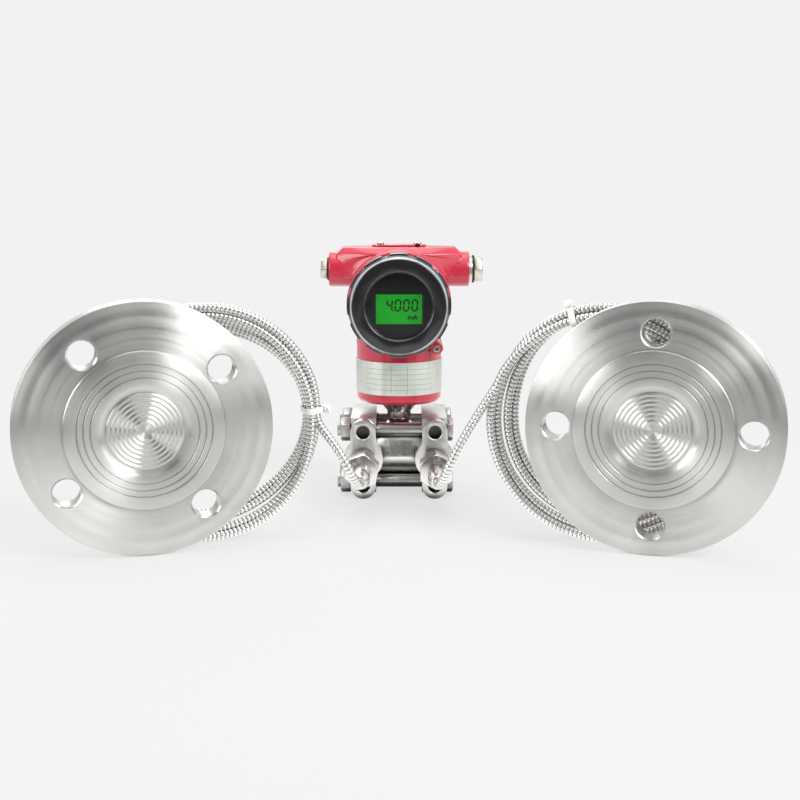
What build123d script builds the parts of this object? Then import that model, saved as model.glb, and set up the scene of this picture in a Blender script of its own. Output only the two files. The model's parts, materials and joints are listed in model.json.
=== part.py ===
from build123d import *
from math import cos, degrees, pi, radians, sin, sqrt, tan
import os

# Differential pressure transmitter with two flanged remote seals, in millimetres.
# +Z is up, the display faces -Y, and +X is to the right of someone who reads the display.
# The transmitter stands on its process flanges, the seals stand on their rims in front of it.

# How the three parts of the set stand to each other
seal_reach = 195.0  # centre of each seal's face, in front of the transmitter's axis
seal_spread = 160.5  # the same, to the side
seal_toe_in = 16.0  # degrees that each seal turns towards the middle

# Remote seal: flange of the DN 50, PN 16 to 40 pattern
seal_diameter = 165.0
seal_thickness = 20.0
seal_edge = 1.2
raised_face_diameter = 102.0
raised_face_height = 3.0
bolt_circle = 125.0
bolt_hole_diameter = 18.0
bolt_hole_chamfer = 0.8
bolt_holes = 4
left_hole_turn = 37.0  # degrees from the seal's horizontal to the first hole
right_hole_turn = 0.0
recess_diameter = 58.0
recess_depth = 1.4
face_grooves = 3  # turned rings on the raised face that grip the gasket
face_groove_first_radius = 34.3
face_groove_pitch = 4.25
face_groove_width = 1.1
face_groove_depth = 0.55

# Corrugated diaphragm of the remote seal
wave_count = 7
wave_pitch = 2.9
wave_height = 0.6
centre_disc_diameter = 9.4
foil_thickness = 0.3

# Rear connector of the remote seal
connector_diameter = 32.0
connector_length = 24.0
connector_edge = 1.5
socket_diameter = 16.0
socket_reach = 21.0  # from the seal's axis to the mouth of the side socket
fill_plug_diameter = 9.0
fill_plug_depth = 6.0
fill_plug_head = 2.5
fill_plug_key_width = 4.0
fill_plug_key_depth = 3.5

# Armoured capillary and its sleeves
armour_diameter = 6.0
sleeve_diameter = 12.8
sleeve_nose_diameter = 8.4
fitting_sleeve_length = 32.0
seal_sleeve_length = 14.0
sleeve_nose_length = 6.0
sleeve_edge = 0.6

# Coils of spare capillary, standing behind the seals
coil_outer_diameter = 161.0
coil_inner_diameter = 119.0
coil_width = 18.0
coil_edge = 3.0
coil_set_back = 32.0  # the coil's middle plane, behind the face of the seal
left_coil_shift = 41.0  # the coil's centre, from the seal's axis towards the transmitter
right_coil_shift = 33.0
left_tie_angle = 4.0  # degrees round the coil from its inner side, upwards
right_tie_angle = 71.6
tie_width = 3.6
tie_thickness = 1.2
tie_clearance = 0.2

# Process flanges of the cell, with the standard 54 x 41.3 mm hole pattern
port_spacing = 54.0
port_hole_rise = 41.3
flange_width = 19.0
flange_front = 40.0
flange_rear = 37.0
flange_block_half = 31.0
flange_block_foot = 3.0
flange_block_edge = 3.0
port_boss_diameter = 29.6
port_blend = 7.0
tapped_hole_diameter = 9.9  # drill size of the 7/16-20 thread
tapped_hole_depth = 11.0
tapped_hole_chamfer = 0.7
port_diameter = 13.2
port_depth = 16.0
port_channel_diameter = 5.0
chamber_diameter = 33.0
chamber_depth = 1.5

# Four M10 bolts with nuts hold the flanges on the capsule
flange_bolt_diameter = 10.0
flange_bolt_clearance = 0.25
flange_bolt_rise = 40.0
flange_bolt_span = 43.0
bolt_head_flats = 16.0
bolt_head_height = 4.6
nut_height = 8.0
stud_end = 2.4
hexagon_chamfer = 0.9

# Sensor capsule between the flanges
capsule_diameter = 47.0
capsule_facet_depth = 1.1
capsule_facet_centre = 15.0  # degrees above the horizontal
seal_ring_outer = 41.0
seal_ring_inner = 36.0
seal_ring_thickness = 1.8
isolating_waves = 4
isolating_wave_pitch = 2.8
isolating_wave_height = 0.5
isolating_disc_diameter = 10.0
isolating_recess = 0.8

# Capillary fitting in each port
fitting_stem_diameter = 18.0
fitting_stem_length = 27.0
fitting_hexagon_flats = 23.0
fitting_hexagon_length = 15.0
fitting_bore_diameter = 3.0
fitting_clearance = 0.05
fitting_end_gap = 1.0
fitting_stem_edge = 1.0
left_hexagon_turn = 20.0  # degrees that each fitting stopped at when it was tightened
right_hexagon_turn = 30.0

# Vent plug in the rear of each flange
vent_plug_diameter = 9.0
vent_plug_depth = 9.0
vent_plug_flats = 14.0
vent_plug_head = 5.0

# Neck between capsule and head
neck_seat = 51.0  # height of the flat that the neck is welded on
neck_foot_diameter = 22.4
neck_foot_height = 2.2
neck_foot_edge = 0.8
neck_groove_diameter = 12.6
neck_groove_height = 2.2
neck_diameter = 18.3
neck_height = 5.6
neck_edge = 0.6
flare_diameter = 31.0
flare_height = 8.6
flare_rim = 0.8
neck_thread_diameter = 24.0
neck_thread_height = 13.0
neck_bore_diameter = 8.0
neck_ring_diameter = 16.6
neck_ring_edge = 0.5
head_lift = 0.1  # running gap between the flare and the head
running_gap = 0.05
thread_end_room = 1.0

# Housing casting
neck_cylinder_diameter = 64.8
neck_cylinder_edge = 2.5
barrel_diameter = 78.0
barrel_half = 31.8
barrel_edge = 1.6
spigot_diameter = 66.0
spigot_relief = 3.2  # what the spigot is longer than the thread in it
chamber_bore = 60.0
partition_front = 14.0
partition_rear = 10.0
shoulder_roof = 3.3  # wall between the compartments and the buttons' bores
shoulder_foot_rise = 17.8  # above the barrel's axis
shoulder_half_length = 47.0
shoulder_end_half_width = 10.5
shoulder_middle_half_length = 18.0
shoulder_middle_half_width = 24.0
shoulder_chamfer = 4.5
conduit_rise = 23.3  # above the barrel's axis
conduit_boss_diameter = 26.6
conduit_half_length = 53.2
conduit_bore_diameter = 20.0
conduit_bore_depth = 40.0
conduit_boss_edge = 0.8
wire_passage_diameter = 9.0
wire_passage_front = 24.0
wire_passage_lap = 6.0
cover_turning_room = 1.5
lock_lug_diameter = 9.6
lock_lug_across = 28.2
lock_lug_drop = 33.6
lock_lug_length = 22.0
lock_screw_diameter = 4.0
lock_screw_length = 9.0
lock_screw_head_diameter = 5.6
lock_screw_head = 1.5
lock_key = 2.5
lock_key_depth = 1.6
lock_screw_set_in = 0.5
lock_screw_tip_gap = 0.15
head_lock_rise = 6.8  # above the head's lower end
earth_boss_diameter = 13.0
earth_boss_stand = 2.2
earth_screw_diameter = 5.0
earth_screw_depth = 7.0
earth_screw_flats = 8.0
earth_screw_head = 3.5
earth_washer_diameter = 11.0
earth_washer_thickness = 1.2

# Nameplate band round the neck cylinder, its text left off
nameplate_rise = 7.7  # above the head's lower end
nameplate_height = 25.2
nameplate_room = 6.3  # between the nameplate and the covers
nameplate_thickness = 0.5
nameplate_clearance = 0.1
nameplate_gap_angle = 70.0
rivet_diameter = 2.4
rivet_head = 0.5
rivet_overhang = 0.5
rivet_lap = 0.1
rivet_depth = 2.0
rivet_inset = 4.0

# Buttons and their plate on the top
plate_screw_span = 28.0
plate_thickness = 1.5
plate_width = 13.0
plate_lift = 0.1
plate_notch_clearance = 0.2
plate_screw_diameter = 3.0
plate_screw_depth = 6.0
plate_screw_head_diameter = 5.6
plate_screw_head = 1.8
plate_screw_edge = 0.5
screw_slot_width = 0.9
screw_slot_depth = 0.8
button_span = 12.0
button_diameter = 6.0
button_length = 4.9
button_travel = 1.5
button_set_down = 0.3
button_end_gap = 0.3
button_edge = 0.5
button_slot_length = 4.5

# Conduit plugs
plug_shank_depth = 14.0
plug_washer_thickness = 1.4
plug_pilot_step = 1.0  # the pilot's radius is this much less than half the flats
left_plug_flats = 14.0
left_plug_head = 4.8
left_plug_neck = 0.0
left_washer_diameter = 17.5
right_plug_flats = 18.0
right_plug_head = 6.0
right_plug_neck = 2.6
right_washer_diameter = 21.0

# Screwed covers, front and rear
cover_lug_diameter = 76.6
cover_root_diameter = 73.8
cover_lugs = 12
cover_notch_angle = 10.0
cover_gap = 0.2  # between the barrel's end and the cover's open end
grip_set_back = 1.0
cover_lug_length = 18.5  # this and the next one from the cover's open end
cover_length = 23.0
cover_rim_diameter = 68.4
cover_bevel_diameter = 70.8
cover_bevel_height = 1.8
cover_shoulder_length = 19.5
cover_bore_room = 0.7  # past the end of the spigot
cover_thread_gap = 0.06
gasket_section = 1.8
gasket_pocket_depth = 2.2
gasket_pocket_diameter = 70.6
window_opening = 48.6
window_chamfer = 1.4
window_diameter = 54.2
window_thickness = 5.0
window_lip = 3.3
retainer_height = 3.0
retainer_opening = 49.0
retainer_slot = 3.0
retainer_slot_depth = 1.0
terminal_cover_length = 18.0
terminal_cover_wall = 3.4
terminal_cover_rim = 60.0
terminal_cover_step = 1.4
terminal_cover_bevel = 2.0
terminal_cover_bevel_depth = 2.4
terminal_grip_end = 4.5  # from the cover's end to the end of its lugs
cover_thread_pitch = 1.5
cover_thread_turns = 5

# Display and electronics behind the window
module_diameter = 56.0
module_height = 14.0
module_edge = 1.0
module_post_diameter = 6.0
module_post_span = 44.0
module_hole_depth = 5.4
board_diameter = 57.0
board_thickness = 1.6
bezel_diameter = 57.6
bezel_stand = 9.7  # in front of the barrel's end
bezel_depth = 5.5
panel_width = 34.0
panel_height = 22.0
panel_drop = 3.3  # centre of the panel below the window's centre
panel_border = 2.0
panel_thickness = 4.0
panel_step = 1.0
panel_clearance = 0.1
bezel_edge = 0.8
bezel_lip = 0.1
module_screw_diameter = 2.5
module_screw_head_diameter = 4.4
module_screw_head = 1.2
module_screw_reach = 4.4  # into its post

# Terminal block in the rear compartment
pedestal_diameter = 34.0
block_diameter = 54.0
block_front = 8.0
block_thickness = 10.0
block_edge = 1.2
block_conduit_gap = 1.0
terminal_count = 3
terminal_pitch = 13.0
terminal_slot_width = 10.0
terminal_slot_depth = 4.0
terminal_slot_height = 22.0
terminal_screw_diameter = 4.0
terminal_screw_head_diameter = 7.0
terminal_screw_head = 2.6
terminal_screw_depth = 5.0

# Sizes that follow from the ones above
seal_radius = seal_diameter / 2
diaphragm_radius = centre_disc_diameter / 2 + wave_count * wave_pitch
isolating_radius = isolating_disc_diameter / 2 + isolating_waves * isolating_wave_pitch
flange_half_width = flange_width / 2
port_height = flange_half_width + port_hole_rise / 2
flange_inner = port_spacing / 2 - flange_half_width
flange_outer = port_spacing / 2 + flange_half_width
flange_top = port_height + port_hole_rise / 2 + flange_half_width
neck_foot_top = neck_seat + neck_foot_height
neck_groove_top = neck_foot_top + neck_groove_height
neck_top = neck_groove_top + neck_height
flare_top = neck_top + flare_height
head_bottom = flare_top + head_lift
spigot_length = cover_thread_turns * cover_thread_pitch + spigot_relief
button_bore_depth = button_set_down + button_length + button_travel + button_end_gap
fitting_hexagon_back = flange_front + fitting_stem_length
fitting_hexagon_front = fitting_hexagon_back + fitting_hexagon_length
fitting_mouth = fitting_hexagon_front + fitting_sleeve_length
coil_outer_radius = coil_outer_diameter / 2
nameplate_foot = head_bottom + nameplate_rise
earth_height = nameplate_foot + nameplate_height / 2
head_lock_height = head_bottom + head_lock_rise
barrel_height = nameplate_foot + nameplate_height + nameplate_room + cover_lug_diameter / 2
conduit_height = barrel_height + conduit_rise
shoulder_foot = barrel_height + shoulder_foot_rise
shoulder_top = barrel_height + chamber_bore / 2 + button_bore_depth + shoulder_roof
terminal_reach = block_front + block_thickness - terminal_slot_depth  # seat of the terminal screws
coil_shift = {-1: left_coil_shift, 1: right_coil_shift}
hole_turn = {-1: left_hole_turn, 1: right_hole_turn}
tie_angle = {-1: left_tie_angle, 1: right_tie_angle}
hexagon_turn = {-1: left_hexagon_turn, 1: right_hexagon_turn}
side_name = {-1: "left", 1: "right"}
cover_back = barrel_half + cover_gap  # distances of the covers' ends from the housing's axis
cover_lug_end = cover_back + cover_lug_length
cover_shoulder = cover_back + cover_shoulder_length
cover_front = cover_back + cover_length
cover_bore_end = barrel_half + spigot_length + cover_bore_room
terminal_cover_end = cover_back + terminal_cover_length
bezel_front = barrel_half + bezel_stand
board_front = bezel_front - bezel_depth
board_back = board_front - board_thickness

# The seals' rims reach furthest forward and the terminal cover furthest back.
# The origin lies midway between them, so the transmitter's axis stands behind it.
toe_in = radians(seal_toe_in)
set_front = seal_reach + seal_radius * sin(toe_in) - raised_face_height * cos(toe_in)
axis_back = (set_front - terminal_cover_end) / 2
to_frame = Pos(0, axis_back, 0)

forwards = Rot(90, 0, 0)  # turns a piece built along +Z to point at the reader
backwards = Rot(-90, 0, 0)
to_right = Rot(0, 90, 0)
to_left = Rot(0, -90, 0)
to_y = Rot(-90, 0, 0)  # points a piece up in a seal's own plane
on_base = (Align.CENTER, Align.CENTER, Align.MIN)
near = 0.1  # how closely an edge's place is matched when it is picked


# A turned piece about Z from the points (radius, height) of its half section
def turned(*points):
    outline = Plane.XZ * Polyline(*points, close=True)
    return revolve(make_face(outline), axis=Axis.Z)


def disc(radius, bottom, top):
    return Pos(0, 0, bottom) * Cylinder(radius, top - bottom, align=on_base)


# A hexagon along Z whose corners are turned off at one or both ends
def hexagon(flats, bottom, top, chamfer_bottom=True, chamfer_top=True):
    corner = flats / sqrt(3)
    low = hexagon_chamfer if chamfer_bottom else 0
    high = hexagon_chamfer if chamfer_top else 0
    bar = Pos(0, 0, bottom) * extrude(RegularPolygon(flats / 2, 6, major_radius=False), top - bottom)
    envelope = [(0, bottom), (corner, bottom), (corner, top), (0, top)]
    if low:
        envelope[1:2] = [(corner - 2 * low, bottom), (corner, bottom + low)]
    if high:
        envelope[-2:-1] = [(corner, top - high), (corner - 2 * high, top)]
    return bar & turned(*envelope)


def separate(solids):
    return Compound([solid for piece in solids for solid in piece.solids()])


# Zigzag of a corrugated foil's face from the flat centre outwards
def corrugation(flat_radius, count, pitch, crest, trough):
    points = [(0, trough), (flat_radius, trough)]
    for number in range(count):
        start = flat_radius + number * pitch
        points.append((start + pitch / 2, crest))
        points.append((start + pitch, trough))
    return points


# Remote seals, built about Z with the raised face at zero and the face looking along +Z


# Turned flange with its raised face, the recess of the diaphragm and four bolt holes
def seal_flange(side):
    rim_top = -raised_face_height
    grooves = []
    for number in reversed(range(face_grooves)):
        middle = face_groove_first_radius + number * face_groove_pitch
        grooves.append((middle + face_groove_width / 2, 0))
        grooves.append((middle, -face_groove_depth))
        grooves.append((middle - face_groove_width / 2, 0))
    body = turned(
        (0, -seal_thickness),
        (seal_radius - seal_edge, -seal_thickness),
        (seal_radius, seal_edge - seal_thickness),
        (seal_radius, rim_top - seal_edge),
        (seal_radius - seal_edge, rim_top),
        (raised_face_diameter / 2, rim_top),
        (raised_face_diameter / 2, 0),
        *grooves,
        (recess_diameter / 2, 0),
        (diaphragm_radius, -recess_depth),
        (0, -recess_depth),
    )
    hole_radius = bolt_hole_diameter / 2
    hole = turned(
        (0, -seal_thickness),
        (hole_radius + bolt_hole_chamfer, -seal_thickness),
        (hole_radius, bolt_hole_chamfer - seal_thickness),
        (hole_radius, rim_top - bolt_hole_chamfer),
        (hole_radius + bolt_hole_chamfer, rim_top),
        (0, rim_top),
    )
    for spot in PolarLocations(bolt_circle / 2, bolt_holes, start_angle=hole_turn[side]):
        body -= spot * hole
    return body


# Thin corrugated disc, welded round its edge on the floor of the recess
def seal_diaphragm():
    trough = foil_thickness - recess_depth
    face = corrugation(centre_disc_diameter / 2, wave_count, wave_pitch, trough + wave_height, trough)
    return turned((0, -recess_depth), *face, (diaphragm_radius, -recess_depth))


# Welded boss on the back of the seal with a socket at its side for the capillary
def seal_connector():
    radius = connector_diameter / 2
    back = seal_thickness + connector_length
    boss = turned(
        (0, -back),
        (radius - connector_edge, -back),
        (radius, connector_edge - back),
        (radius, -seal_thickness),
        (0, -seal_thickness),
    )
    socket = Pos(0, 0, -coil_set_back) * to_y * disc(socket_diameter / 2, 0, socket_reach)
    plug_seat = disc(fill_plug_diameter / 2, -back, fill_plug_depth - back)
    return boss + socket - plug_seat


# Screwed plug that closes the filling hole, with a hexagon socket for its key
def fill_plug():
    back = seal_thickness + connector_length
    plug = disc(fill_plug_diameter / 2, -back - fill_plug_head, fill_plug_depth - back)
    key = extrude(RegularPolygon(fill_plug_key_width / 2, 6, major_radius=False), fill_plug_key_depth)
    return plug - Pos(0, 0, -back - fill_plug_head) * key


# Sleeve that holds the end of the armour, along Z from its seat to its nose
def sleeve(length):
    outer = sleeve_diameter / 2
    nose = sleeve_nose_diameter / 2
    return turned(
        (0, 0),
        (outer - sleeve_edge, 0),
        (outer, sleeve_edge),
        (outer, length - sleeve_nose_length),
        (nose, length),
        (0, length),
    )


def seal_plane(side):
    return Plane(
        origin=(side * seal_spread, -seal_reach, seal_radius),
        x_dir=(cos(toe_in), -side * sin(toe_in), 0),
        z_dir=(-side * sin(toe_in), -cos(toe_in), 0),
    )


def on_seal(side):
    return to_frame * seal_plane(side).location


def seal_sleeve(side):
    seat = Pos(0, socket_reach, -coil_set_back) * to_y
    return on_seal(side) * seat * sleeve(seal_sleeve_length)


# Coils, ties and capillaries


# The coil's own plane: its axis along Z, X towards the transmitter and Y up
def coil_plane(side):
    up = Vector(0, 0, 1)
    inwards = Vector(-side * cos(toe_in), sin(toe_in), 0)
    face = Vector(-side * sin(toe_in), -cos(toe_in), 0)
    foot = Vector(side * seal_spread, -seal_reach, 0) + inwards * coil_shift[side] - face * coil_set_back
    return Plane(origin=foot + up * coil_outer_radius, x_dir=inwards, z_dir=inwards.cross(up))


# Outer shape of one coil of capillary
def coil(side):
    inner = coil_inner_diameter / 2
    half = coil_width / 2
    ring = turned(
        (inner, coil_edge - half),
        (inner + coil_edge, -half),
        (coil_outer_radius - coil_edge, -half),
        (coil_outer_radius, coil_edge - half),
        (coil_outer_radius, half - coil_edge),
        (coil_outer_radius - coil_edge, half),
        (inner + coil_edge, half),
        (inner, half - coil_edge),
    )
    return to_frame * coil_plane(side).location * ring


# Cable tie: a closed strap round the coil's section
def cable_tie(side):
    inner = coil_inner_diameter / 2
    depth = coil_outer_radius - inner + 2 * tie_clearance
    width = coil_width + 2 * tie_clearance
    hole = RectangleRounded(depth, width, coil_edge)
    strap = offset(hole, tie_thickness)
    band = extrude(strap - hole, tie_width / 2, both=True)
    round_coil = Rot(0, 0, tie_angle[side]) * Pos((coil_outer_radius + inner) / 2, 0, 0) * Rot(90, 0, 0)
    return to_frame * coil_plane(side).location * round_coil * band


# Each capillary lead runs from its fitting to the coil. The points are chosen by hand. The
# first ones are in the transmitter's own place, from the fitting's mouth on.
lead_starts = {
    -1: [
        (-port_spacing / 2, -fitting_mouth, port_height),
        (-port_spacing / 2, -133.0, port_height),
        (-32.0, -146.5, 44.0),
        (-41.5, -145.5, 61.0),
    ],
    1: [
        (port_spacing / 2, -fitting_mouth, port_height),
        (port_spacing / 2, -133.5, port_height),
        (32.0, -148.0, 46.0),
        (42.5, -147.5, 67.5),
        (55.5, -143.0, 88.0),
    ],
}
# The last ones go into the coil: depth inside its rim, degrees round it from its inner side,
# and distance in front of its middle plane.
lead_ends = {
    -1: [(2.0, -5.0, 7.5), (4.5, -0.8, 3.2)],
    1: [(4.6, 20.0, 3.7), (5.4, 28.2, 0.1)],
}

# Each tail runs from the seal's sleeve up into the coil: (across, up) in the seal's plane,
# across being towards the transmitter.
tail_routes = {
    -1: [(0.0, socket_reach + seal_sleeve_length), (0.0, 47.0), (4.0, 58.0)],
    1: [(0.0, socket_reach + seal_sleeve_length), (0.0, 47.0), (4.0, 58.0)],
}


# Straight runs joined by arcs as large as the runs allow
def cord_tube(name, points):
    points = [Vector(*point) for point in points]
    runs = [end - start for start, end in zip(points, points[1:])]
    radii = []
    for before, after in zip(runs, runs[1:]):
        half_turn = radians(before.get_angle(after)) / 2
        radii.append(0.45 * min(before.length, after.length) / tan(half_turn))
    route = FilletPolyline(*points, radius=radii)
    start = Plane(origin=route @ 0, z_dir=route % 0)
    tube = sweep(start * Circle(armour_diameter / 2), path=route)
    section = pi * armour_diameter**2 / 4
    print(name, "radii", [round(radius, 1) for radius in radii])
    print(name, "length", round(route.length, 1))
    print(name, "volume over section times length", round(tube.volume / section / route.length, 4))
    return tube


def lead(side):
    name = "capillary_lead_" + side_name[side]
    plane = coil_plane(side)
    points = [Vector(*point) for point in lead_starts[side]]
    for depth, angle, front in lead_ends[side]:
        radius = coil_outer_radius - depth
        round_coil = plane.x_dir * cos(radians(angle)) + plane.y_dir * sin(radians(angle))
        points.append(plane.origin + round_coil * radius - plane.z_dir * side * front)
    return to_frame * cord_tube(name, points)


def tail(side):
    name = "capillary_tail_" + side_name[side]
    points = [(-side * across, up, -coil_set_back) for across, up in tail_routes[side]]
    return on_seal(side) * cord_tube(name, points)


# Measuring cell


# Places of the four flange bolts along the capsule's axis
def bolt_spots():
    spots = []
    for across in (-1, 1):
        for rise in (-1, 1):
            spots.append((across * flange_bolt_span / 2, port_height + rise * flange_bolt_rise / 2))
    return spots


# Cast flange of the right side: a column with round ends, a wide boss round the port in
# front, a block along the bolts, two tapped holes, the port and its channels
def process_flange():
    middle = port_spacing / 2
    boss_radius = port_boss_diameter / 2
    column = Rectangle(flange_width, port_hole_rise)
    for rise in (-1, 1):
        column += Pos(0, rise * port_hole_rise / 2) * Circle(flange_half_width)
    front = column + Circle(boss_radius)
    corner_height = sqrt(boss_radius**2 - flange_half_width**2)
    corners = [point for point in front.vertices() if abs(abs(point.Y) - corner_height) < near]
    front = fillet(corners, port_blend)
    body = extrude(Plane.XZ.offset(-flange_rear) * column, flange_rear + flange_front)
    body += extrude(Plane.XZ.offset(flange_block_half) * front, flange_front - flange_block_half)
    body = Pos(middle, 0, port_height) * body
    block = Pos(middle, 0, flange_block_foot) * Box(
        flange_width, 2 * flange_block_half, flange_top - flange_block_foot, align=on_base
    )
    block = chamfer(block.edges().filter_by(Axis.Z).group_by(Axis.X)[-1], flange_block_edge)
    body += block

    channel = port_channel_diameter / 2
    hole_radius = tapped_hole_diameter / 2
    tapped = turned(
        (0, 0),
        (hole_radius, 0),
        (hole_radius, tapped_hole_depth - tapped_hole_chamfer),
        (hole_radius + tapped_hole_chamfer, tapped_hole_depth),
        (0, tapped_hole_depth),
    )
    for rise in (-1, 1):
        place = Pos(middle, tapped_hole_depth - flange_front, port_height + rise * port_hole_rise / 2)
        body -= place * forwards * tapped
    on_port = Pos(middle, 0, port_height)
    on_face = Pos(flange_inner, 0, port_height) * to_right
    vent_seat = flange_rear - vent_plug_depth
    body -= on_port * forwards * disc(port_diameter / 2, flange_front - port_depth, flange_front)
    body -= on_port * forwards * disc(channel, 0, flange_front - port_depth)
    body -= on_port * backwards * disc(vent_plug_diameter / 2, vent_seat, flange_rear)
    body -= on_port * backwards * disc(channel, 0, vent_seat)
    body -= on_face * disc(chamber_diameter / 2, 0, chamber_depth)
    body -= on_face * disc(channel, 0, middle - flange_inner)
    through = flange_bolt_diameter / 2 + flange_bolt_clearance
    for across, height in bolt_spots():
        body -= Pos(flange_inner, across, height) * to_right * disc(through, 0, flange_width)
    return body


def vent_plug(side):
    plug = disc(vent_plug_diameter / 2, -vent_plug_depth, 0)
    plug += hexagon(vent_plug_flats, 0, vent_plug_head, False)
    return to_frame * Pos(side * port_spacing / 2, flange_rear, port_height) * backwards * plug


# Bolt with a thin hexagon head outside the right flange and its end through the left nut
def flange_bolt(across, height):
    end = -flange_outer - nut_height - stud_end
    shank = disc(flange_bolt_diameter / 2, end, flange_outer)
    head = hexagon(bolt_head_flats, flange_outer, flange_outer + bolt_head_height, False)
    return to_frame * Pos(0, across, height) * to_right * (shank + head)


def flange_nut(across, height):
    nut = hexagon(bolt_head_flats, flange_outer, flange_outer + nut_height)
    nut -= disc(flange_bolt_diameter / 2, flange_outer, flange_outer + nut_height)
    return to_frame * Pos(0, across, height) * to_left * nut


# Cylinder lying across, with a milled facet front and rear, a flat for the neck,
# and in each end face the seat of its isolating diaphragm and its seal ring
def sensor_capsule():
    radius = capsule_diameter / 2
    body = disc(radius, -flange_inner, flange_inner)
    seat = disc(isolating_radius, flange_inner - isolating_recess, flange_inner)
    groove = seal_ring()
    body -= seat + groove
    body -= mirror(seat + groove, about=Plane.XY)
    body = to_right * body
    facet_cut = Box(capsule_diameter, capsule_diameter, capsule_diameter, align=on_base)
    for facing in (-1, 1):
        turn = Rot(-facing * (90 - capsule_facet_centre), 0, 0)
        body -= turn * Pos(0, 0, radius - capsule_facet_depth) * facet_cut
    body -= Pos(0, 0, neck_seat - port_height) * facet_cut
    return to_frame * Pos(0, 0, port_height) * body


# Ring in its groove at the capsule's upper end, the capsule standing on end
def seal_ring():
    low = flange_inner - seal_ring_thickness
    return disc(seal_ring_outer / 2, low, flange_inner) - disc(seal_ring_inner / 2, low, flange_inner)


def isolating_diaphragm(side):
    trough = isolating_wave_height / 2
    face = corrugation(
        isolating_disc_diameter / 2, isolating_waves, isolating_wave_pitch, isolating_wave_height, trough
    )
    foil = turned((0, 0), *face, (isolating_radius, 0))
    turn = to_right if side > 0 else to_left
    return to_frame * Pos(side * (flange_inner - isolating_recess), 0, port_height) * turn * foil


def flange_seal(side):
    turn = to_right if side > 0 else to_left
    return to_frame * Pos(0, 0, port_height) * turn * seal_ring()


# Fitting screwed in the port: shank, round stem, and hexagon with a spot face for the sleeve
def capillary_fitting(side):
    shank_end = flange_front - port_depth + fitting_end_gap
    radius = fitting_stem_diameter / 2
    shank = disc(port_diameter / 2 - fitting_clearance, shank_end, flange_front)
    stem = turned(
        (0, flange_front),
        (radius - fitting_stem_edge, flange_front),
        (radius, flange_front + fitting_stem_edge),
        (radius, fitting_hexagon_back),
        (0, fitting_hexagon_back),
    )
    grip = hexagon(fitting_hexagon_flats, fitting_hexagon_back, fitting_hexagon_front)
    body = shank + stem + Rot(0, 0, hexagon_turn[side]) * grip
    body -= disc(fitting_bore_diameter / 2, 0, fitting_hexagon_front)
    return to_frame * Pos(side * port_spacing / 2, 0, port_height) * forwards * body


def fitting_sleeve(side):
    piece = Pos(0, 0, fitting_hexagon_front) * sleeve(fitting_sleeve_length)
    return to_frame * Pos(side * port_spacing / 2, 0, port_height) * forwards * piece


# Neck stem: foot on the capsule, groove, collar, flare and the thread that carries the head
def neck_stem():
    thread_top = flare_top + neck_thread_height
    body = turned(
        (0, neck_seat),
        (neck_foot_diameter / 2, neck_seat),
        (neck_foot_diameter / 2 - neck_foot_edge, neck_seat + neck_foot_edge),
        (neck_ring_diameter / 2, neck_foot_top),
        (neck_groove_diameter / 2, neck_foot_top),
        (neck_groove_diameter / 2, neck_groove_top),
        (neck_diameter / 2 - neck_edge, neck_groove_top),
        (neck_diameter / 2, neck_groove_top + neck_edge),
        (neck_diameter / 2, neck_top),
        (flare_diameter / 2, flare_top - flare_rim),
        (flare_diameter / 2, flare_top),
        (neck_thread_diameter / 2, flare_top),
        (neck_thread_diameter / 2, thread_top),
        (0, thread_top),
    )
    return to_frame * (body - disc(neck_bore_diameter / 2, neck_top, thread_top))


def neck_ring():
    outer = neck_ring_diameter / 2
    ring = turned(
        (neck_groove_diameter / 2, neck_foot_top),
        (outer - neck_ring_edge, neck_foot_top),
        (outer, neck_foot_top + neck_ring_edge),
        (outer, neck_groove_top - neck_ring_edge),
        (outer - neck_ring_edge, neck_groove_top),
        (neck_groove_diameter / 2, neck_groove_top),
    )
    return to_frame * ring


# Head


# Shoulders: a flat-topped block that narrows towards the conduit bosses
def shoulders():
    outline = Polyline(
        (-shoulder_half_length, -shoulder_end_half_width),
        (-shoulder_middle_half_length, -shoulder_middle_half_width),
        (shoulder_middle_half_length, -shoulder_middle_half_width),
        (shoulder_half_length, -shoulder_end_half_width),
        (shoulder_half_length, shoulder_end_half_width),
        (shoulder_middle_half_length, shoulder_middle_half_width),
        (-shoulder_middle_half_length, shoulder_middle_half_width),
        (-shoulder_half_length, shoulder_end_half_width),
        close=True,
    )
    block = Pos(0, 0, shoulder_foot) * extrude(make_face(outline), shoulder_top - shoulder_foot)
    return chamfer(block.edges().group_by(Axis.Z)[-1], shoulder_chamfer)


def lock_lug_spot(facing):
    return Pos(facing * lock_lug_across, 0, barrel_height - lock_lug_drop)


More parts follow.
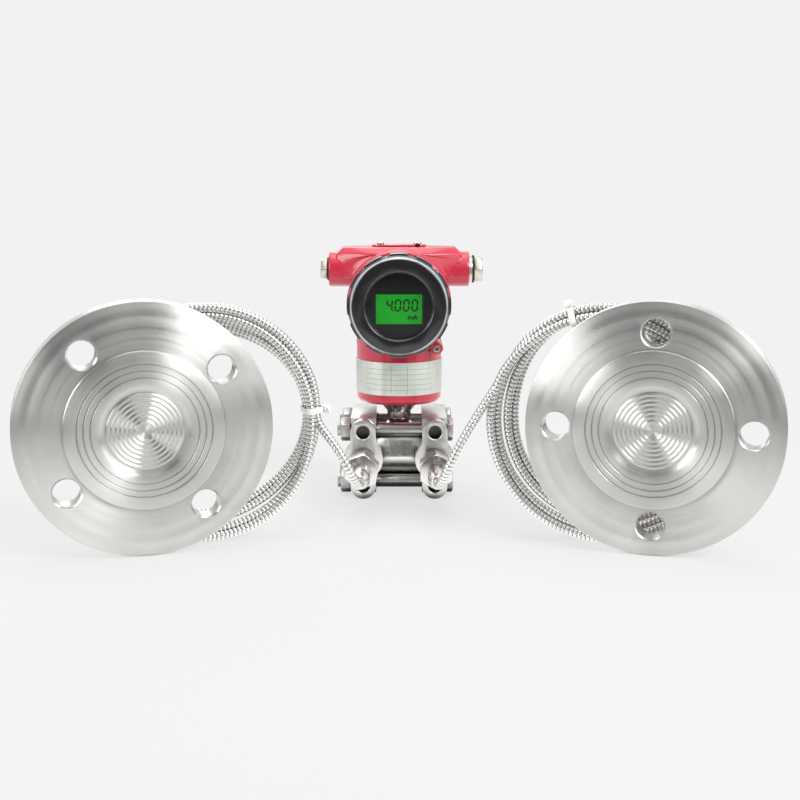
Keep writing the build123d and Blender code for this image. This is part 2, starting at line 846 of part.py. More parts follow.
# One casting: neck cylinder, barrel with a threaded spigot at each end, shoulders with the
# conduit bosses, and the lugs of the screws; two compartments with a wall between them
def housing():
    neck_radius = neck_cylinder_diameter / 2
    neck = turned(
        (0, head_bottom),
        (neck_radius - neck_cylinder_edge, head_bottom),
        (neck_radius, head_bottom + neck_cylinder_edge),
        (neck_radius, barrel_height),
        (0, barrel_height),
    )
    radius = barrel_diameter / 2
    end = barrel_half + spigot_length
    barrel = turned(
        (0, -end),
        (spigot_diameter / 2, -end),
        (spigot_diameter / 2, -barrel_half),
        (radius - barrel_edge, -barrel_half),
        (radius, barrel_edge - barrel_half),
        (radius, barrel_half - barrel_edge),
        (radius - barrel_edge, barrel_half),
        (spigot_diameter / 2, barrel_half),
        (spigot_diameter / 2, end),
        (0, end),
    )
    in_barrel = Pos(0, 0, barrel_height)
    # the neck cylinder is flat where the covers turn
    cover_foot = barrel_height - cover_lug_diameter / 2 - cover_turning_room
    flat_cut = Box(neck_cylinder_diameter, barrel_height, barrel_height, align=on_base)
    for facing in (-1, 1):
        neck -= Pos(0, facing * (barrel_half + barrel_height / 2), cover_foot) * flat_cut
    body = neck + in_barrel * forwards * barrel + shoulders()
    bosses = disc(conduit_boss_diameter / 2, -conduit_half_length, conduit_half_length)
    bosses = chamfer(bosses.edges(), conduit_boss_edge)
    body += Pos(0, 0, conduit_height) * to_right * bosses
    for facing, turn in ((1, forwards), (-1, backwards)):
        lug = disc(lock_lug_diameter / 2, barrel_half - lock_lug_length, barrel_half)
        body += lock_lug_spot(facing) * turn * lug
    earth_boss = disc(earth_boss_diameter / 2, 0, neck_radius + earth_boss_stand)
    body += Pos(0, 0, earth_height) * backwards * earth_boss

    body -= in_barrel * forwards * disc(chamber_bore / 2, partition_front, end)
    body -= in_barrel * backwards * disc(chamber_bore / 2, -partition_rear, end)
    conduit_inner = conduit_half_length - conduit_bore_depth
    for turn in (to_right, to_left):
        bore = disc(conduit_bore_diameter / 2, conduit_inner, conduit_half_length)
        body -= Pos(0, 0, conduit_height) * turn * bore
    thread_room = flare_top + neck_thread_height + thread_end_room
    body -= disc(neck_thread_diameter / 2 + running_gap, head_bottom, thread_room)
    chamber_floor = barrel_height - chamber_bore / 2
    passage_foot = (0, 0, thread_room - thread_end_room)
    passage = Line(passage_foot, (0, -wire_passage_front, chamber_floor + wire_passage_lap))
    start = Plane(origin=passage @ 0, z_dir=passage % 0)
    body -= sweep(start * Circle(wire_passage_diameter / 2), path=passage)
    for facing, turn in ((1, forwards), (-1, backwards)):
        hole = disc(lock_screw_diameter / 2, barrel_half - lock_screw_length, barrel_half)
        body -= lock_lug_spot(facing) * turn * hole
    body -= Pos(0, 0, head_lock_height) * backwards * disc(lock_screw_diameter / 2, 0, neck_radius)
    earth_end = neck_radius + earth_boss_stand
    earth_hole = disc(earth_screw_diameter / 2, earth_end - earth_screw_depth, earth_end)
    body -= Pos(0, 0, earth_height) * backwards * earth_hole
    screw_hole = disc(plate_screw_diameter / 2, -plate_screw_depth, 0)
    button_bore = disc(button_diameter / 2 + running_gap, -button_bore_depth, 0)
    for side in (-1, 1):
        body -= Pos(side * plate_screw_span / 2, 0, shoulder_top) * screw_hole
        body -= Pos(side * button_span / 2, 0, shoulder_top) * button_bore
    for angle, height in rivet_spots():
        body -= rivet_place(angle, height) * disc(rivet_diameter / 2, -rivet_depth, 0)
    return to_frame * body


# Rivets near both ends of the band, an upper and a lower one at each
def rivet_spots():
    radius = neck_cylinder_diameter / 2
    inset_angle = degrees(rivet_inset / radius)
    spots = []
    for side in (-1, 1):
        angle = 90 + side * (nameplate_gap_angle / 2 + inset_angle)
        for height in (nameplate_foot + rivet_inset, nameplate_foot + nameplate_height - rivet_inset):
            spots.append((angle, height))
    return spots


def rivet_place(angle, height):
    return Pos(0, 0, height) * Rot(0, 0, angle) * Pos(neck_cylinder_diameter / 2, 0, 0) * to_right


# Band round the front and sides of the neck cylinder, open at the back
def nameplate():
    inner = neck_cylinder_diameter / 2 + nameplate_clearance
    reach = neck_cylinder_diameter
    half_gap = radians(nameplate_gap_angle / 2)
    across = reach * sin(half_gap)
    back = reach * cos(half_gap)
    band = Circle(inner + nameplate_thickness) - Circle(inner)
    gap = make_face(Polyline((0, 0), (across, back), (-across, back), close=True))
    body = Pos(0, 0, nameplate_foot) * extrude(band - gap, nameplate_height)
    for angle, height in rivet_spots():
        body -= rivet_place(angle, height) * disc(rivet_diameter / 2, -rivet_depth, rivet_depth)
    return to_frame * body


def rivet(angle, height):
    seat = nameplate_clearance + nameplate_thickness
    shank = disc(rivet_diameter / 2, -rivet_depth, seat + rivet_lap)
    cap = turned(
        (0, seat),
        (rivet_diameter / 2 + rivet_overhang, seat + rivet_lap),
        (rivet_diameter / 2, seat + rivet_head),
        (0, seat + rivet_head),
    )
    return to_frame * rivet_place(angle, height) * (shank + cap)


# What a driver's slot takes off the top of a head
def slot(length, top):
    return Pos(0, 0, top) * Box(length, screw_slot_width, 2 * screw_slot_depth)


# Plate over the buttons: round ends, a hole for the pivot screw on the left and on the
# right a notch that lets the plate swing back from under its screw
def button_plate():
    half = plate_screw_span / 2
    hole_radius = plate_screw_diameter / 2 + running_gap
    outline = SlotCenterToCenter(plate_screw_span, plate_width)
    outline -= Pos(-half, 0) * Circle(hole_radius)
    notch_radius = plate_screw_diameter / 2 + plate_notch_clearance
    outline -= Pos(half, 0) * Circle(notch_radius)
    outline -= Pos(half, -plate_width / 2) * Rectangle(2 * notch_radius, plate_width)
    return to_frame * Pos(0, 0, shoulder_top + plate_lift) * extrude(outline, plate_thickness)


def plate_screw(side):
    under_head = plate_thickness + 2 * plate_lift
    head_radius = plate_screw_head_diameter / 2
    top = under_head + plate_screw_head
    body = disc(plate_screw_diameter / 2, -plate_screw_depth, under_head)
    body += turned(
        (0, under_head),
        (head_radius, under_head),
        (head_radius, top - plate_screw_edge),
        (head_radius - plate_screw_edge, top),
        (0, top),
    )
    body -= slot(plate_screw_head_diameter, top)
    return to_frame * Pos(side * plate_screw_span / 2, 0, shoulder_top) * body


def push_button(side):
    top = shoulder_top - button_set_down
    body = disc(button_diameter / 2, top - button_length, top)
    body = chamfer(body.edges().group_by(Axis.Z)[-1], button_edge)
    body -= slot(button_slot_length, top)
    return to_frame * Pos(side * button_span / 2, 0, 0) * body


# Hexagon plug for a conduit boss, with the washer under its head
def conduit_plug(side):
    flats, head, neck = {
        -1: (left_plug_flats, left_plug_head, left_plug_neck),
        1: (right_plug_flats, right_plug_head, right_plug_neck),
    }[side]
    low = conduit_half_length + neck
    seat = low + plug_washer_thickness
    shank = disc(conduit_bore_diameter / 2 - running_gap, conduit_half_length - plug_shank_depth, low)
    pilot = disc(flats / 2 - plug_pilot_step, low, seat)
    grip = Rot(0, 0, 30) * hexagon(flats, seat, seat + head, False)
    turn = to_right if side > 0 else to_left
    return to_frame * Pos(0, 0, conduit_height) * turn * (shank + pilot + grip)


def conduit_washer(side):
    flats, neck, diameter = {
        -1: (left_plug_flats, left_plug_neck, left_washer_diameter),
        1: (right_plug_flats, right_plug_neck, right_washer_diameter),
    }[side]
    low = conduit_half_length + neck
    high = low + plug_washer_thickness
    ring = disc(diameter / 2, low, high) - disc(flats / 2 - plug_pilot_step, low, high)
    turn = to_right if side > 0 else to_left
    return to_frame * Pos(0, 0, conduit_height) * turn * ring


# Hexagon socket of the lock screws
def key_hole(top):
    return Pos(0, 0, top - lock_key_depth) * extrude(
        RegularPolygon(lock_key / 2, 6, major_radius=False), lock_key_depth
    )


def cover_lock_screw(facing):
    turn = forwards if facing > 0 else backwards
    head_radius = lock_screw_head_diameter / 2
    body = disc(lock_screw_diameter / 2, barrel_half - lock_screw_length, barrel_half)
    body += disc(head_radius, barrel_half, barrel_half + lock_screw_head)
    body -= key_hole(barrel_half + lock_screw_head)
    return to_frame * lock_lug_spot(facing) * turn * body


# Set screw in the rear of the neck cylinder, its tip just off the neck's thread
def head_lock_screw():
    tip = neck_thread_diameter / 2 + lock_screw_tip_gap
    end = neck_cylinder_diameter / 2 - lock_screw_set_in
    body = disc(lock_screw_diameter / 2, tip, end) - key_hole(end)
    return to_frame * Pos(0, 0, head_lock_height) * backwards * body


def earth_screw():
    seat = neck_cylinder_diameter / 2 + earth_boss_stand
    body = disc(earth_screw_diameter / 2, seat - earth_screw_depth, seat)
    body += disc(earth_washer_diameter / 2, seat, seat + earth_washer_thickness)
    grip_low = seat + earth_washer_thickness
    body += hexagon(earth_screw_flats, grip_low, grip_low + earth_screw_head, False)
    body -= slot(earth_screw_flats, grip_low + earth_screw_head)
    return to_frame * Pos(0, 0, earth_height) * backwards * body


# Screwed covers


# Grip ring with lugs and the shallow notches between them, one lug at the top
def grip_ring(low, high):
    outline = Circle(cover_lug_diameter / 2)
    step = 360 / cover_lugs
    width = cover_lug_diameter / 2 * radians(cover_notch_angle)
    depth = (cover_lug_diameter - cover_root_diameter) / 2
    for number in range(cover_lugs):
        place = Rot(0, 0, 90 + step * (number + 0.5)) * Pos(cover_lug_diameter / 2, 0)
        outline -= place * Rectangle(2 * depth, width)
    return Pos(0, 0, low) * extrude(outline, high - low)


def cover_cavity():
    bore = spigot_diameter / 2 + cover_thread_gap
    pocket = disc(gasket_pocket_diameter / 2, cover_back, cover_back + gasket_pocket_depth)
    return pocket + disc(bore, cover_back, cover_bore_end)


# Front cover: bevelled rim, grip ring and the opening of the window
def display_cover():
    root = cover_root_diameter / 2
    body = turned(
        (0, cover_back),
        (root, cover_back),
        (root, cover_shoulder),
        (cover_bevel_diameter / 2, cover_front - cover_bevel_height),
        (cover_rim_diameter / 2, cover_front),
        (0, cover_front),
    )
    body += grip_ring(cover_back + grip_set_back, cover_lug_end)
    opening = turned(
        (0, cover_front - window_lip),
        (window_opening / 2, cover_front - window_lip),
        (window_opening / 2, cover_front - window_chamfer),
        (window_opening / 2 + window_chamfer, cover_front),
        (0, cover_front),
    )
    body -= cover_cavity()
    body -= opening
    body -= disc(window_diameter / 2, cover_bore_end, cover_front - window_lip)
    return to_frame * Pos(0, 0, barrel_height) * forwards * body


def window_glass():
    top = cover_front - window_lip
    pane = disc(window_diameter / 2, top - window_thickness, top)
    return to_frame * Pos(0, 0, barrel_height) * forwards * pane


# Ring screwed in behind the glass, with two slots for its spanner
def window_retainer():
    top = cover_front - window_lip - window_thickness
    low = top - retainer_height
    ring = disc(window_diameter / 2, low, top) - disc(retainer_opening / 2, low, top)
    ring -= Pos(0, 0, low) * Box(2 * window_diameter, retainer_slot, 2 * retainer_slot_depth)
    return to_frame * Pos(0, 0, barrel_height) * forwards * ring


def cover_gasket(facing):
    section = gasket_section / 2
    seat = (spigot_diameter + gasket_pocket_diameter) / 4 + running_gap
    place = Plane.XZ * Pos(seat, cover_back + section + running_gap)
    outline = place * RegularPolygon(section, 8, major_radius=False)
    turn = forwards if facing > 0 else backwards
    return to_frame * Pos(0, 0, barrel_height) * turn * revolve(outline, axis=Axis.Z)


# Rear cover: the same thread and grip, closed by a stepped end
def terminal_cover():
    root = cover_root_diameter / 2
    rim = terminal_cover_rim / 2
    shoulder = terminal_cover_end - terminal_cover_step
    body = turned(
        (0, cover_back),
        (root, cover_back),
        (root, shoulder - terminal_cover_bevel),
        (root - terminal_cover_bevel_depth, shoulder),
        (rim, shoulder),
        (rim - terminal_cover_step, terminal_cover_end),
        (0, terminal_cover_end),
    )
    body += grip_ring(cover_back + grip_set_back, terminal_cover_end - terminal_grip_end)
    body -= cover_cavity()
    body -= disc(window_diameter / 2, cover_bore_end, terminal_cover_end - terminal_cover_wall)
    return to_frame * Pos(0, 0, barrel_height) * backwards * body


# Display and electronics in the front compartment


# Potted module on the partition wall, with two posts that carry the display
def electronics_module():
    body = disc(module_diameter / 2, partition_front, partition_front + module_height)
    body = chamfer(body.edges().group_by(Axis.Z)[-1], module_edge)
    post = disc(module_post_diameter / 2, partition_front + module_height, board_back)
    hole = disc(module_screw_diameter / 2, board_back - module_hole_depth, board_back)
    for side in (-1, 1):
        place = Pos(side * module_post_span / 2, 0, 0)
        body = body + place * post - place * hole
    return to_frame * Pos(0, 0, barrel_height) * forwards * body


def display_board():
    body = disc(board_diameter / 2, board_back, board_front)
    hole = disc(module_screw_diameter / 2, board_back, board_front)
    for side in (-1, 1):
        body -= Pos(side * module_post_span / 2, 0, 0) * hole
    return to_frame * Pos(0, 0, barrel_height) * forwards * body


# Display panel on the board, a flat block seen through the bezel
def lcd_panel():
    width = panel_width + 2 * panel_border
    height = panel_height + 2 * panel_border
    margin = 2 * panel_clearance
    body = Box(width, height, panel_thickness - panel_step, align=on_base)
    body += Box(panel_width - margin, panel_height - margin, panel_thickness, align=on_base)
    return to_frame * Pos(0, 0, barrel_height) * forwards * Pos(0, -panel_drop, board_front) * body


# Black frame round the panel, hollow behind, with a bevelled opening
def display_bezel():
    body = disc(bezel_diameter / 2, board_front, bezel_front)
    body = chamfer(body.edges().group_by(Axis.Z)[-1], bezel_edge)
    margin = 2 * (panel_border + panel_clearance)
    room = Box(panel_width + margin, panel_height + margin, panel_thickness - panel_step, align=on_base)
    opening = Box(panel_width, panel_height, bezel_front - board_front, align=on_base)
    bevel_low = board_front + panel_thickness - bezel_lip
    bevel = 2 * (bezel_front - bevel_low)
    inner_edge = Pos(0, 0, bevel_low) * Rectangle(panel_width, panel_height)
    outer_edge = Pos(0, 0, bezel_front) * Rectangle(panel_width + bevel, panel_height + bevel)
    body -= Pos(0, -panel_drop, board_front) * (room + opening)
    body -= Pos(0, -panel_drop, 0) * loft([inner_edge, outer_edge])
    screw_hole = disc(module_screw_diameter / 2, board_front, bezel_front)
    head_radius = module_screw_head_diameter / 2 + running_gap
    head_seat = disc(head_radius, bezel_front - module_screw_head, bezel_front)
    for side in (-1, 1):
        body -= Pos(side * module_post_span / 2, 0, 0) * (screw_hole + head_seat)
    return to_frame * Pos(0, 0, barrel_height) * forwards * body


def module_screw(side):
    under_head = bezel_front - module_screw_head
    body = disc(module_screw_diameter / 2, board_back - module_screw_reach, under_head)
    body += disc(module_screw_head_diameter / 2, under_head, bezel_front)
    body -= slot(module_screw_head_diameter, bezel_front)
    return to_frame * Pos(side * module_post_span / 2, 0, barrel_height) * forwards * body


# Terminal block in the rear compartment


def terminal_spots():
    return [(number - (terminal_count - 1) / 2) * terminal_pitch for number in range(terminal_count)]


# Pedestal on the partition and a round plate with a slot for each terminal
def terminal_block():
    body = disc(pedestal_diameter / 2, -partition_rear, block_front)
    plate = disc(block_diameter / 2, block_front, block_front + block_thickness)
    body += chamfer(plate.edges().group_by(Axis.Z)[-1], block_edge)
    top = block_front + block_thickness
    recess = Pos(0, 0, terminal_reach) * Box(
        terminal_slot_width, terminal_slot_height, 2 * terminal_slot_depth, align=on_base
    )
    screw_hole = disc(terminal_screw_diameter / 2, terminal_reach - terminal_screw_depth, top)
    for across in terminal_spots():
        body -= Pos(across, 0, 0) * (recess + screw_hole)
    # flat at the top that leaves the conduits' way in open
    clear = conduit_height - conduit_bore_diameter / 2 - barrel_height - block_conduit_gap
    body -= Pos(0, -clear, -partition_rear) * Box(
        chamber_bore, chamber_bore, top + 2 * partition_rear, align=(Align.CENTER, Align.MAX, Align.MIN)
    )
    return to_frame * Pos(0, 0, barrel_height) * backwards * body


def terminal_screw(across):
    seat = terminal_reach
    body = disc(terminal_screw_diameter / 2, seat - terminal_screw_depth, seat)
    body += disc(terminal_screw_head_diameter / 2, seat, seat + terminal_screw_head)
    body -= slot(terminal_screw_head_diameter, seat + terminal_screw_head)
    return to_frame * Pos(across, 0, barrel_height) * backwards * body


sides = (-1, 1)
pieces = {}

for side in sides:
    name = side_name[side]
    pieces["seal_flange_" + name] = on_seal(side) * seal_flange(side)
    pieces["seal_diaphragm_" + name] = on_seal(side) * seal_diaphragm()
    pieces["seal_connector_" + name] = on_seal(side) * seal_connector()
    pieces["seal_sleeve_" + name] = seal_sleeve(side)
    pieces["capillary_tail_" + name] = tail(side)
    pieces["capillary_coil_" + name] = coil(side)
    pieces["capillary_lead_" + name] = lead(side)
    pieces["capillary_sleeve_" + name] = fitting_sleeve(side)
    pieces["capillary_fitting_" + name] = capillary_fitting(side)
    pieces["isolating_diaphragm_" + name] = isolating_diaphragm(side)
    pieces["flange_seal_" + name] = flange_seal(side)
    pieces["conduit_plug_" + name] = conduit_plug(side)
pieces["fill_plugs"] = separate([on_seal(side) * fill_plug() for side in sides])
pieces["cable_ties"] = separate([cable_tie(side) for side in sides])

right_flange = process_flange()
pieces["process_flange_right"] = to_frame * right_flange
pieces["process_flange_left"] = to_frame * mirror(right_flange, about=Plane.YZ)
pieces["vent_plugs"] = separate([vent_plug(side) for side in sides])
pieces["flange_bolts"] = separate([flange_bolt(*spot) for spot in bolt_spots()])
pieces["flange_nuts"] = separate([flange_nut(*spot) for spot in bolt_spots()])
pieces["sensor_capsule"] = sensor_capsule()
pieces["neck_stem"] = neck_stem()
pieces["neck_ring"] = neck_ring()

pieces["housing"] = housing()
pieces["head_lock_screw"] = head_lock_screw()
pieces["nameplate"] = nameplate()
pieces["nameplate_rivets"] = separate([rivet(*spot) for spot in rivet_spots()])
pieces["button_plate"] = button_plate()
pieces["plate_screws"] = separate([plate_screw(side) for side in sides])
pieces["zero_button"] = push_button(-1)
pieces["span_button"] = push_button(1)
pieces["conduit_washers"] = separate([conduit_washer(side) for side in sides])
pieces["cover_lock_screws"] = separate([cover_lock_screw(facing) for facing in sides])
pieces["earth_screw"] = earth_screw()

pieces["display_cover"] = display_cover()
pieces["window_glass"] = window_glass()
pieces["window_retainer"] = window_retainer()
pieces["cover_gasket_front"] = cover_gasket(1)
pieces["terminal_cover"] = terminal_cover()
pieces["cover_gasket_rear"] = cover_gasket(-1)

pieces["electronics_module"] = electronics_module()
pieces["display_board"] = display_board()
pieces["lcd_panel"] = lcd_panel()
pieces["display_bezel"] = display_bezel()
pieces["module_screws"] = separate([module_screw(side) for side in sides])
pieces["terminal_block"] = terminal_block()
pieces["terminal_screws"] = separate([terminal_screw(across) for across in terminal_spots()])

os.makedirs("parts", exist_ok=True)
for name, piece in pieces.items():
    export_step(piece, "parts/" + name + ".step")
print(len(pieces), "pieces, transmitter axis", round(axis_back, 3), "mm behind the origin")
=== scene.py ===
import bmesh
import bpy
import json
from math import cos, floor, pi, radians, sin, sqrt
from mathutils import Matrix, Vector


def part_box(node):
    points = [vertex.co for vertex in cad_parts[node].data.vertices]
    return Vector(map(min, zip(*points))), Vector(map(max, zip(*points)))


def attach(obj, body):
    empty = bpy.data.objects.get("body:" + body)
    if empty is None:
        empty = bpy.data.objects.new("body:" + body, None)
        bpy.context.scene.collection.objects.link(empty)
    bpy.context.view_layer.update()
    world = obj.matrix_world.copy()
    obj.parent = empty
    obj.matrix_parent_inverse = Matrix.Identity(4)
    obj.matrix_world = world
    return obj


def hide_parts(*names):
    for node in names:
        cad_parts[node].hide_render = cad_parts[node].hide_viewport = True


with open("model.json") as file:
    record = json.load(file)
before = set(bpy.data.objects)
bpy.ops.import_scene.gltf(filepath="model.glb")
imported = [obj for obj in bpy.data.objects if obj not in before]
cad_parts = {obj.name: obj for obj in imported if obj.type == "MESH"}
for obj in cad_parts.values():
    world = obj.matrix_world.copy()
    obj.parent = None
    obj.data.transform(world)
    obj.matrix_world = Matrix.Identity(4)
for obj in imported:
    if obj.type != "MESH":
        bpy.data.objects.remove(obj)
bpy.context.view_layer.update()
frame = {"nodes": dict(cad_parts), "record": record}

# A differential pressure transmitter with two flanged remote seals on armoured capillaries.
# Metres throughout, in the part's own frame. Sizes in a piece's dictionary are in millimetres.

mm = 0.001
record = frame["record"]
scene = bpy.context.scene
scene.view_settings.view_transform = "Standard"

bodyOf = {node: body for body, nodes in record["behaviour"]["bodies"].items() for node in nodes}
slotOf = {part["node"]: part["material_slot"] for part in record["subparts"]}
mounts = {mount["name"]: mount for mount in record["mounts"]}
sideSign = {"left": -1, "right": 1}
upwards = Vector((0, 0, 1))


def middleOf(node):
    low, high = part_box(node)
    return (low + high) / 2


# Heights and axes that the pieces share, read from the frame
axisPoint = middleOf("neck_stem")
axisY = axisPoint.y
portHeight = middleOf("sensor_capsule").z
barrelHeight = middleOf("window_glass").z


# Camera at the photograph's viewing angle

cameraView = {
    "place": (0.0, -0.957572, 0.250),
    "pitchDown": 9.88,
    "yawRight": 0.042,
    "lens": 61.2,
    "sensor": 36.0,
}


def addCamera(view):
    data = bpy.data.cameras.new("viewCamera")
    data.lens = view["lens"]
    data.sensor_width = view["sensor"]
    camera = bpy.data.objects.new("viewCamera", data)
    camera.location = view["place"]
    camera.rotation_euler = (radians(90 - view["pitchDown"]), 0, -radians(view["yawRight"]))
    scene.collection.objects.link(camera)
    scene.camera = camera


addCamera(cameraView)
print("camera set")


# Helpers for shader trees


def startMaterial(name):
    made = bpy.data.materials.new(name)
    made.use_nodes = True
    tree = made.node_tree
    tree.nodes.clear()
    shader = tree.nodes.new("ShaderNodeBsdfPrincipled")
    output = tree.nodes.new("ShaderNodeOutputMaterial")
    tree.links.new(shader.outputs["BSDF"], output.inputs["Surface"])
    return made, tree, shader


def setInputs(tree, node, inputs):
    for key, value in inputs.items():
        if isinstance(value, bpy.types.NodeSocket):
            tree.links.new(value, node.inputs[key])
        else:
            node.inputs[key].default_value = value


def addNode(tree, kind, inputs=None, **settings):
    node = tree.nodes.new(kind)
    for key, value in settings.items():
        setattr(node, key, value)
    setInputs(tree, node, inputs or {})
    return node


def colour(red, green, blue):
    def linear(value):
        value = value / 255
        return value / 12.92 if value <= 0.04045 else ((value + 0.055) / 1.055) ** 2.4
    return (linear(red), linear(green), linear(blue), 1.0)


def grey(level):
    return (level, level, level, 1.0)


def darker(base, share):
    return tuple(value * share for value in base[:3]) + (1.0,)


def objectPlace(tree):
    return addNode(tree, "ShaderNodeTexCoord").outputs["Object"]


# Scale is in waves a metre
def noise(tree, place, scale, detail=3.0, rough=0.5, stretch=None):
    if stretch:
        place = addNode(tree, "ShaderNodeMapping", {"Vector": place, "Scale": stretch}).outputs["Vector"]
    inputs = {"Vector": place, "Scale": scale, "Detail": detail, "Roughness": rough}
    return addNode(tree, "ShaderNodeTexNoise", inputs).outputs["Fac"]


# From low to high, as the value goes through the middle of a noise's range or the range given
def spread(tree, value, low, high, fromLow=0.3, fromHigh=0.7):
    inputs = {"Value": value, "From Min": fromLow, "From Max": fromHigh, "To Min": low, "To Max": high}
    return addNode(tree, "ShaderNodeMapRange", inputs).outputs["Result"]


def mixColours(tree, factor, first, second):
    return addNode(tree, "ShaderNodeMix", {0: factor, 6: first, 7: second}, data_type="RGBA").outputs[2]


def mixShaders(tree, share, first, second):
    return addNode(tree, "ShaderNodeMixShader", {0: share, 1: first, 2: second}).outputs["Shader"]


# Shown in place of the material's own shader
def showInstead(tree, shader):
    output = next(node for node in tree.nodes if node.type == "OUTPUT_MATERIAL")
    tree.links.new(shader, output.inputs["Surface"])


def valueMath(tree, operation, first, second=0.0):
    return addNode(tree, "ShaderNodeMath", {0: first, 1: second}, operation=operation).outputs[0]


def vectorMath(tree, operation, first, second=(0, 0, 0)):
    return addNode(tree, "ShaderNodeVectorMath", {0: first, 1: second}, operation=operation)


# A level by steps of a measure, straight between them
def rampOf(tree, value, steps):
    total = steps[0][1]
    for (before, low), (after, high) in zip(steps, steps[1:]):
        total = valueMath(tree, "ADD", spread(tree, value, 0.0, high - low, before, after), total)
    return total


def bump(tree, height, strength, distance, normal=None):
    inputs = {"Height": height, "Strength": strength, "Distance": distance}
    if normal:
        inputs["Normal"] = normal
    return addNode(tree, "ShaderNodeBump", inputs).outputs["Normal"]


# Painted shade: the colour is darkened by ambient occlusion in holes, grooves and corners, where little
# light gets in
def paintedCavityShade(tree, tone, reach, least=0.1):
    closed, clear, cavityShadeGrey = 0.14, 0.74, 0.03
    openness = addNode(tree, "ShaderNodeAmbientOcclusion", {"Distance": reach * mm}, samples=6).outputs["AO"]
    return mixColours(tree, spread(tree, openness, least, 1.0, closed, clear), grey(cavityShadeGrey), tone)


# Distance from an axis, place along it and the direction across the tool's marks
def roundAxis(tree, centre, axis):
    away = vectorMath(tree, "SUBTRACT", objectPlace(tree), tuple(centre)).outputs["Vector"]
    along = vectorMath(tree, "DOT_PRODUCT", away, tuple(axis)).outputs["Value"]
    lift = addNode(tree, "ShaderNodeVectorMath", {0: tuple(axis), "Scale": along}, operation="SCALE")
    outwards = vectorMath(tree, "SUBTRACT", away, lift.outputs["Vector"]).outputs["Vector"]
    radius = vectorMath(tree, "LENGTH", outwards).outputs["Value"]
    turn = vectorMath(tree, "CROSS_PRODUCT", tuple(axis), outwards).outputs["Vector"]
    facing = tree.nodes.new("ShaderNodeNewGeometry").outputs["Normal"]
    acrossMarks = vectorMath(tree, "CROSS_PRODUCT", facing, turn).outputs["Vector"]
    tangent = vectorMath(tree, "NORMALIZE", acrossMarks).outputs["Vector"]
    return radius, along, tangent


# Materials


# Turned stainless steel: fine rings round its axis that stretch the highlights
def turnedSteel(name, centre, axis, base, rough, stretchy):
    count = 1000 / 0.35  # rings in a metre
    made, tree, shader = startMaterial(name)
    radius, along, tangent = roundAxis(tree, centre, axis)
    outwards = valueMath(tree, "MULTIPLY", radius, count)
    rings = valueMath(tree, "ADD", outwards, valueMath(tree, "MULTIPLY", along, count))

    def ringNoise(scale, detail):
        inputs = {"W": rings, "Scale": scale, "Detail": detail}
        return addNode(tree, "ShaderNodeTexNoise", inputs, noise_dimensions="1D").outputs["Fac"]

    fine = ringNoise(1.0, 2.0)
    broad = ringNoise(0.07, 1.0)
    cloud = noise(tree, objectPlace(tree), 45.0, 4.0, 0.6)
    dark = darker(base, 0.82)
    tone = mixColours(tree, spread(tree, fine, 0.0, 0.55), base, dark)
    tone = mixColours(tree, spread(tree, cloud, 0.0, 0.35), tone, dark)
    worn = valueMath(tree, "ADD", spread(tree, broad, -0.05, 0.05), spread(tree, cloud, -0.03, 0.05))
    setInputs(tree, shader, {
        # painted shade in the grooves and corners
        "Base Color": paintedCavityShade(tree, tone, 3.0, 0.3), "Metallic": 1.0,
        "Roughness": valueMath(tree, "ADD", worn, rough), "Anisotropic": stretchy, "Tangent": tangent,
        "Normal": bump(tree, fine, 0.5, 0.00004),
    })
    return made


# Investment cast and polished: soft waves under a fine grain
def castSteel(name, base, rough):
    made, tree, shader = startMaterial(name)
    place = objectPlace(tree)
    wave = noise(tree, place, 55.0, 2.0)
    pores = noise(tree, place, 1400.0, 3.0, 0.6)
    tone = mixColours(tree, spread(tree, wave, 0.0, 0.4), base, darker(base, 0.8))
    setInputs(tree, shader, {
        # painted shade, down to near black deep in the holes
        "Base Color": paintedCavityShade(tree, tone, 14.0, 0.0),
        "Metallic": 1.0, "Roughness": spread(tree, pores, rough - 0.05, rough + 0.08),
        "Normal": bump(tree, pores, 0.25, 0.00006, bump(tree, wave, 0.35, 0.0012)),
    })
    return made


# Rolled or plated steel of screws, nuts and washers
def plainSteel(name, base, rough):
    made, tree, shader = startMaterial(name)
    place = objectPlace(tree)
    cloud = noise(tree, place, 180.0, 4.0, 0.6)
    scratch = noise(tree, place, 900.0, 2.0, 0.5, (1.0, 0.12, 1.0))
    tone = mixColours(tree, spread(tree, cloud, 0.0, 0.6), base, darker(base, 0.72))
    setInputs(tree, shader, {
        # painted shade in the grooves and corners
        "Base Color": paintedCavityShade(tree, tone, 4.0, 0.2),
        "Metallic": 1.0, "Roughness": spread(tree, cloud, rough - 0.06, rough + 0.1),
        "Normal": bump(tree, scratch, 0.2, 0.00005),
    })
    return made


# Painted highlight: a light grey band on the bevel round the covers' rim, varied by noise patches
def paintedBevelHighlight(tree, tone, edge):
    away = vectorMath(tree, "SUBTRACT", objectPlace(tree), tuple(edge["centre"])).outputs["Vector"]
    blur = edge["blur"]
    flat = vectorMath(tree, "MULTIPLY", away, (1.0, 0.0, 1.0)).outputs["Vector"]
    radius = vectorMath(tree, "LENGTH", flat).outputs["Value"]
    depth = addNode(tree, "ShaderNodeSeparateXYZ", {0: away}).outputs["Y"]
    inner = spread(tree, radius, 0.0, 1.0, edge["inner"] * mm, (edge["inner"] + blur[0]) * mm)
    depth = valueMath(tree, "ABSOLUTE", depth)
    front = spread(tree, depth, 0.0, 1.0, edge["from"] * mm, (edge["from"] + blur[1]) * mm)
    patch = noise(tree, objectPlace(tree), 90.0, 3.0, 0.6)
    share = valueMath(tree, "MULTIPLY", inner, front)
    share = valueMath(tree, "MULTIPLY", share, spread(tree, patch, 0.55, 0.95))
    return mixColours(tree, share, tone, edge["tone"])


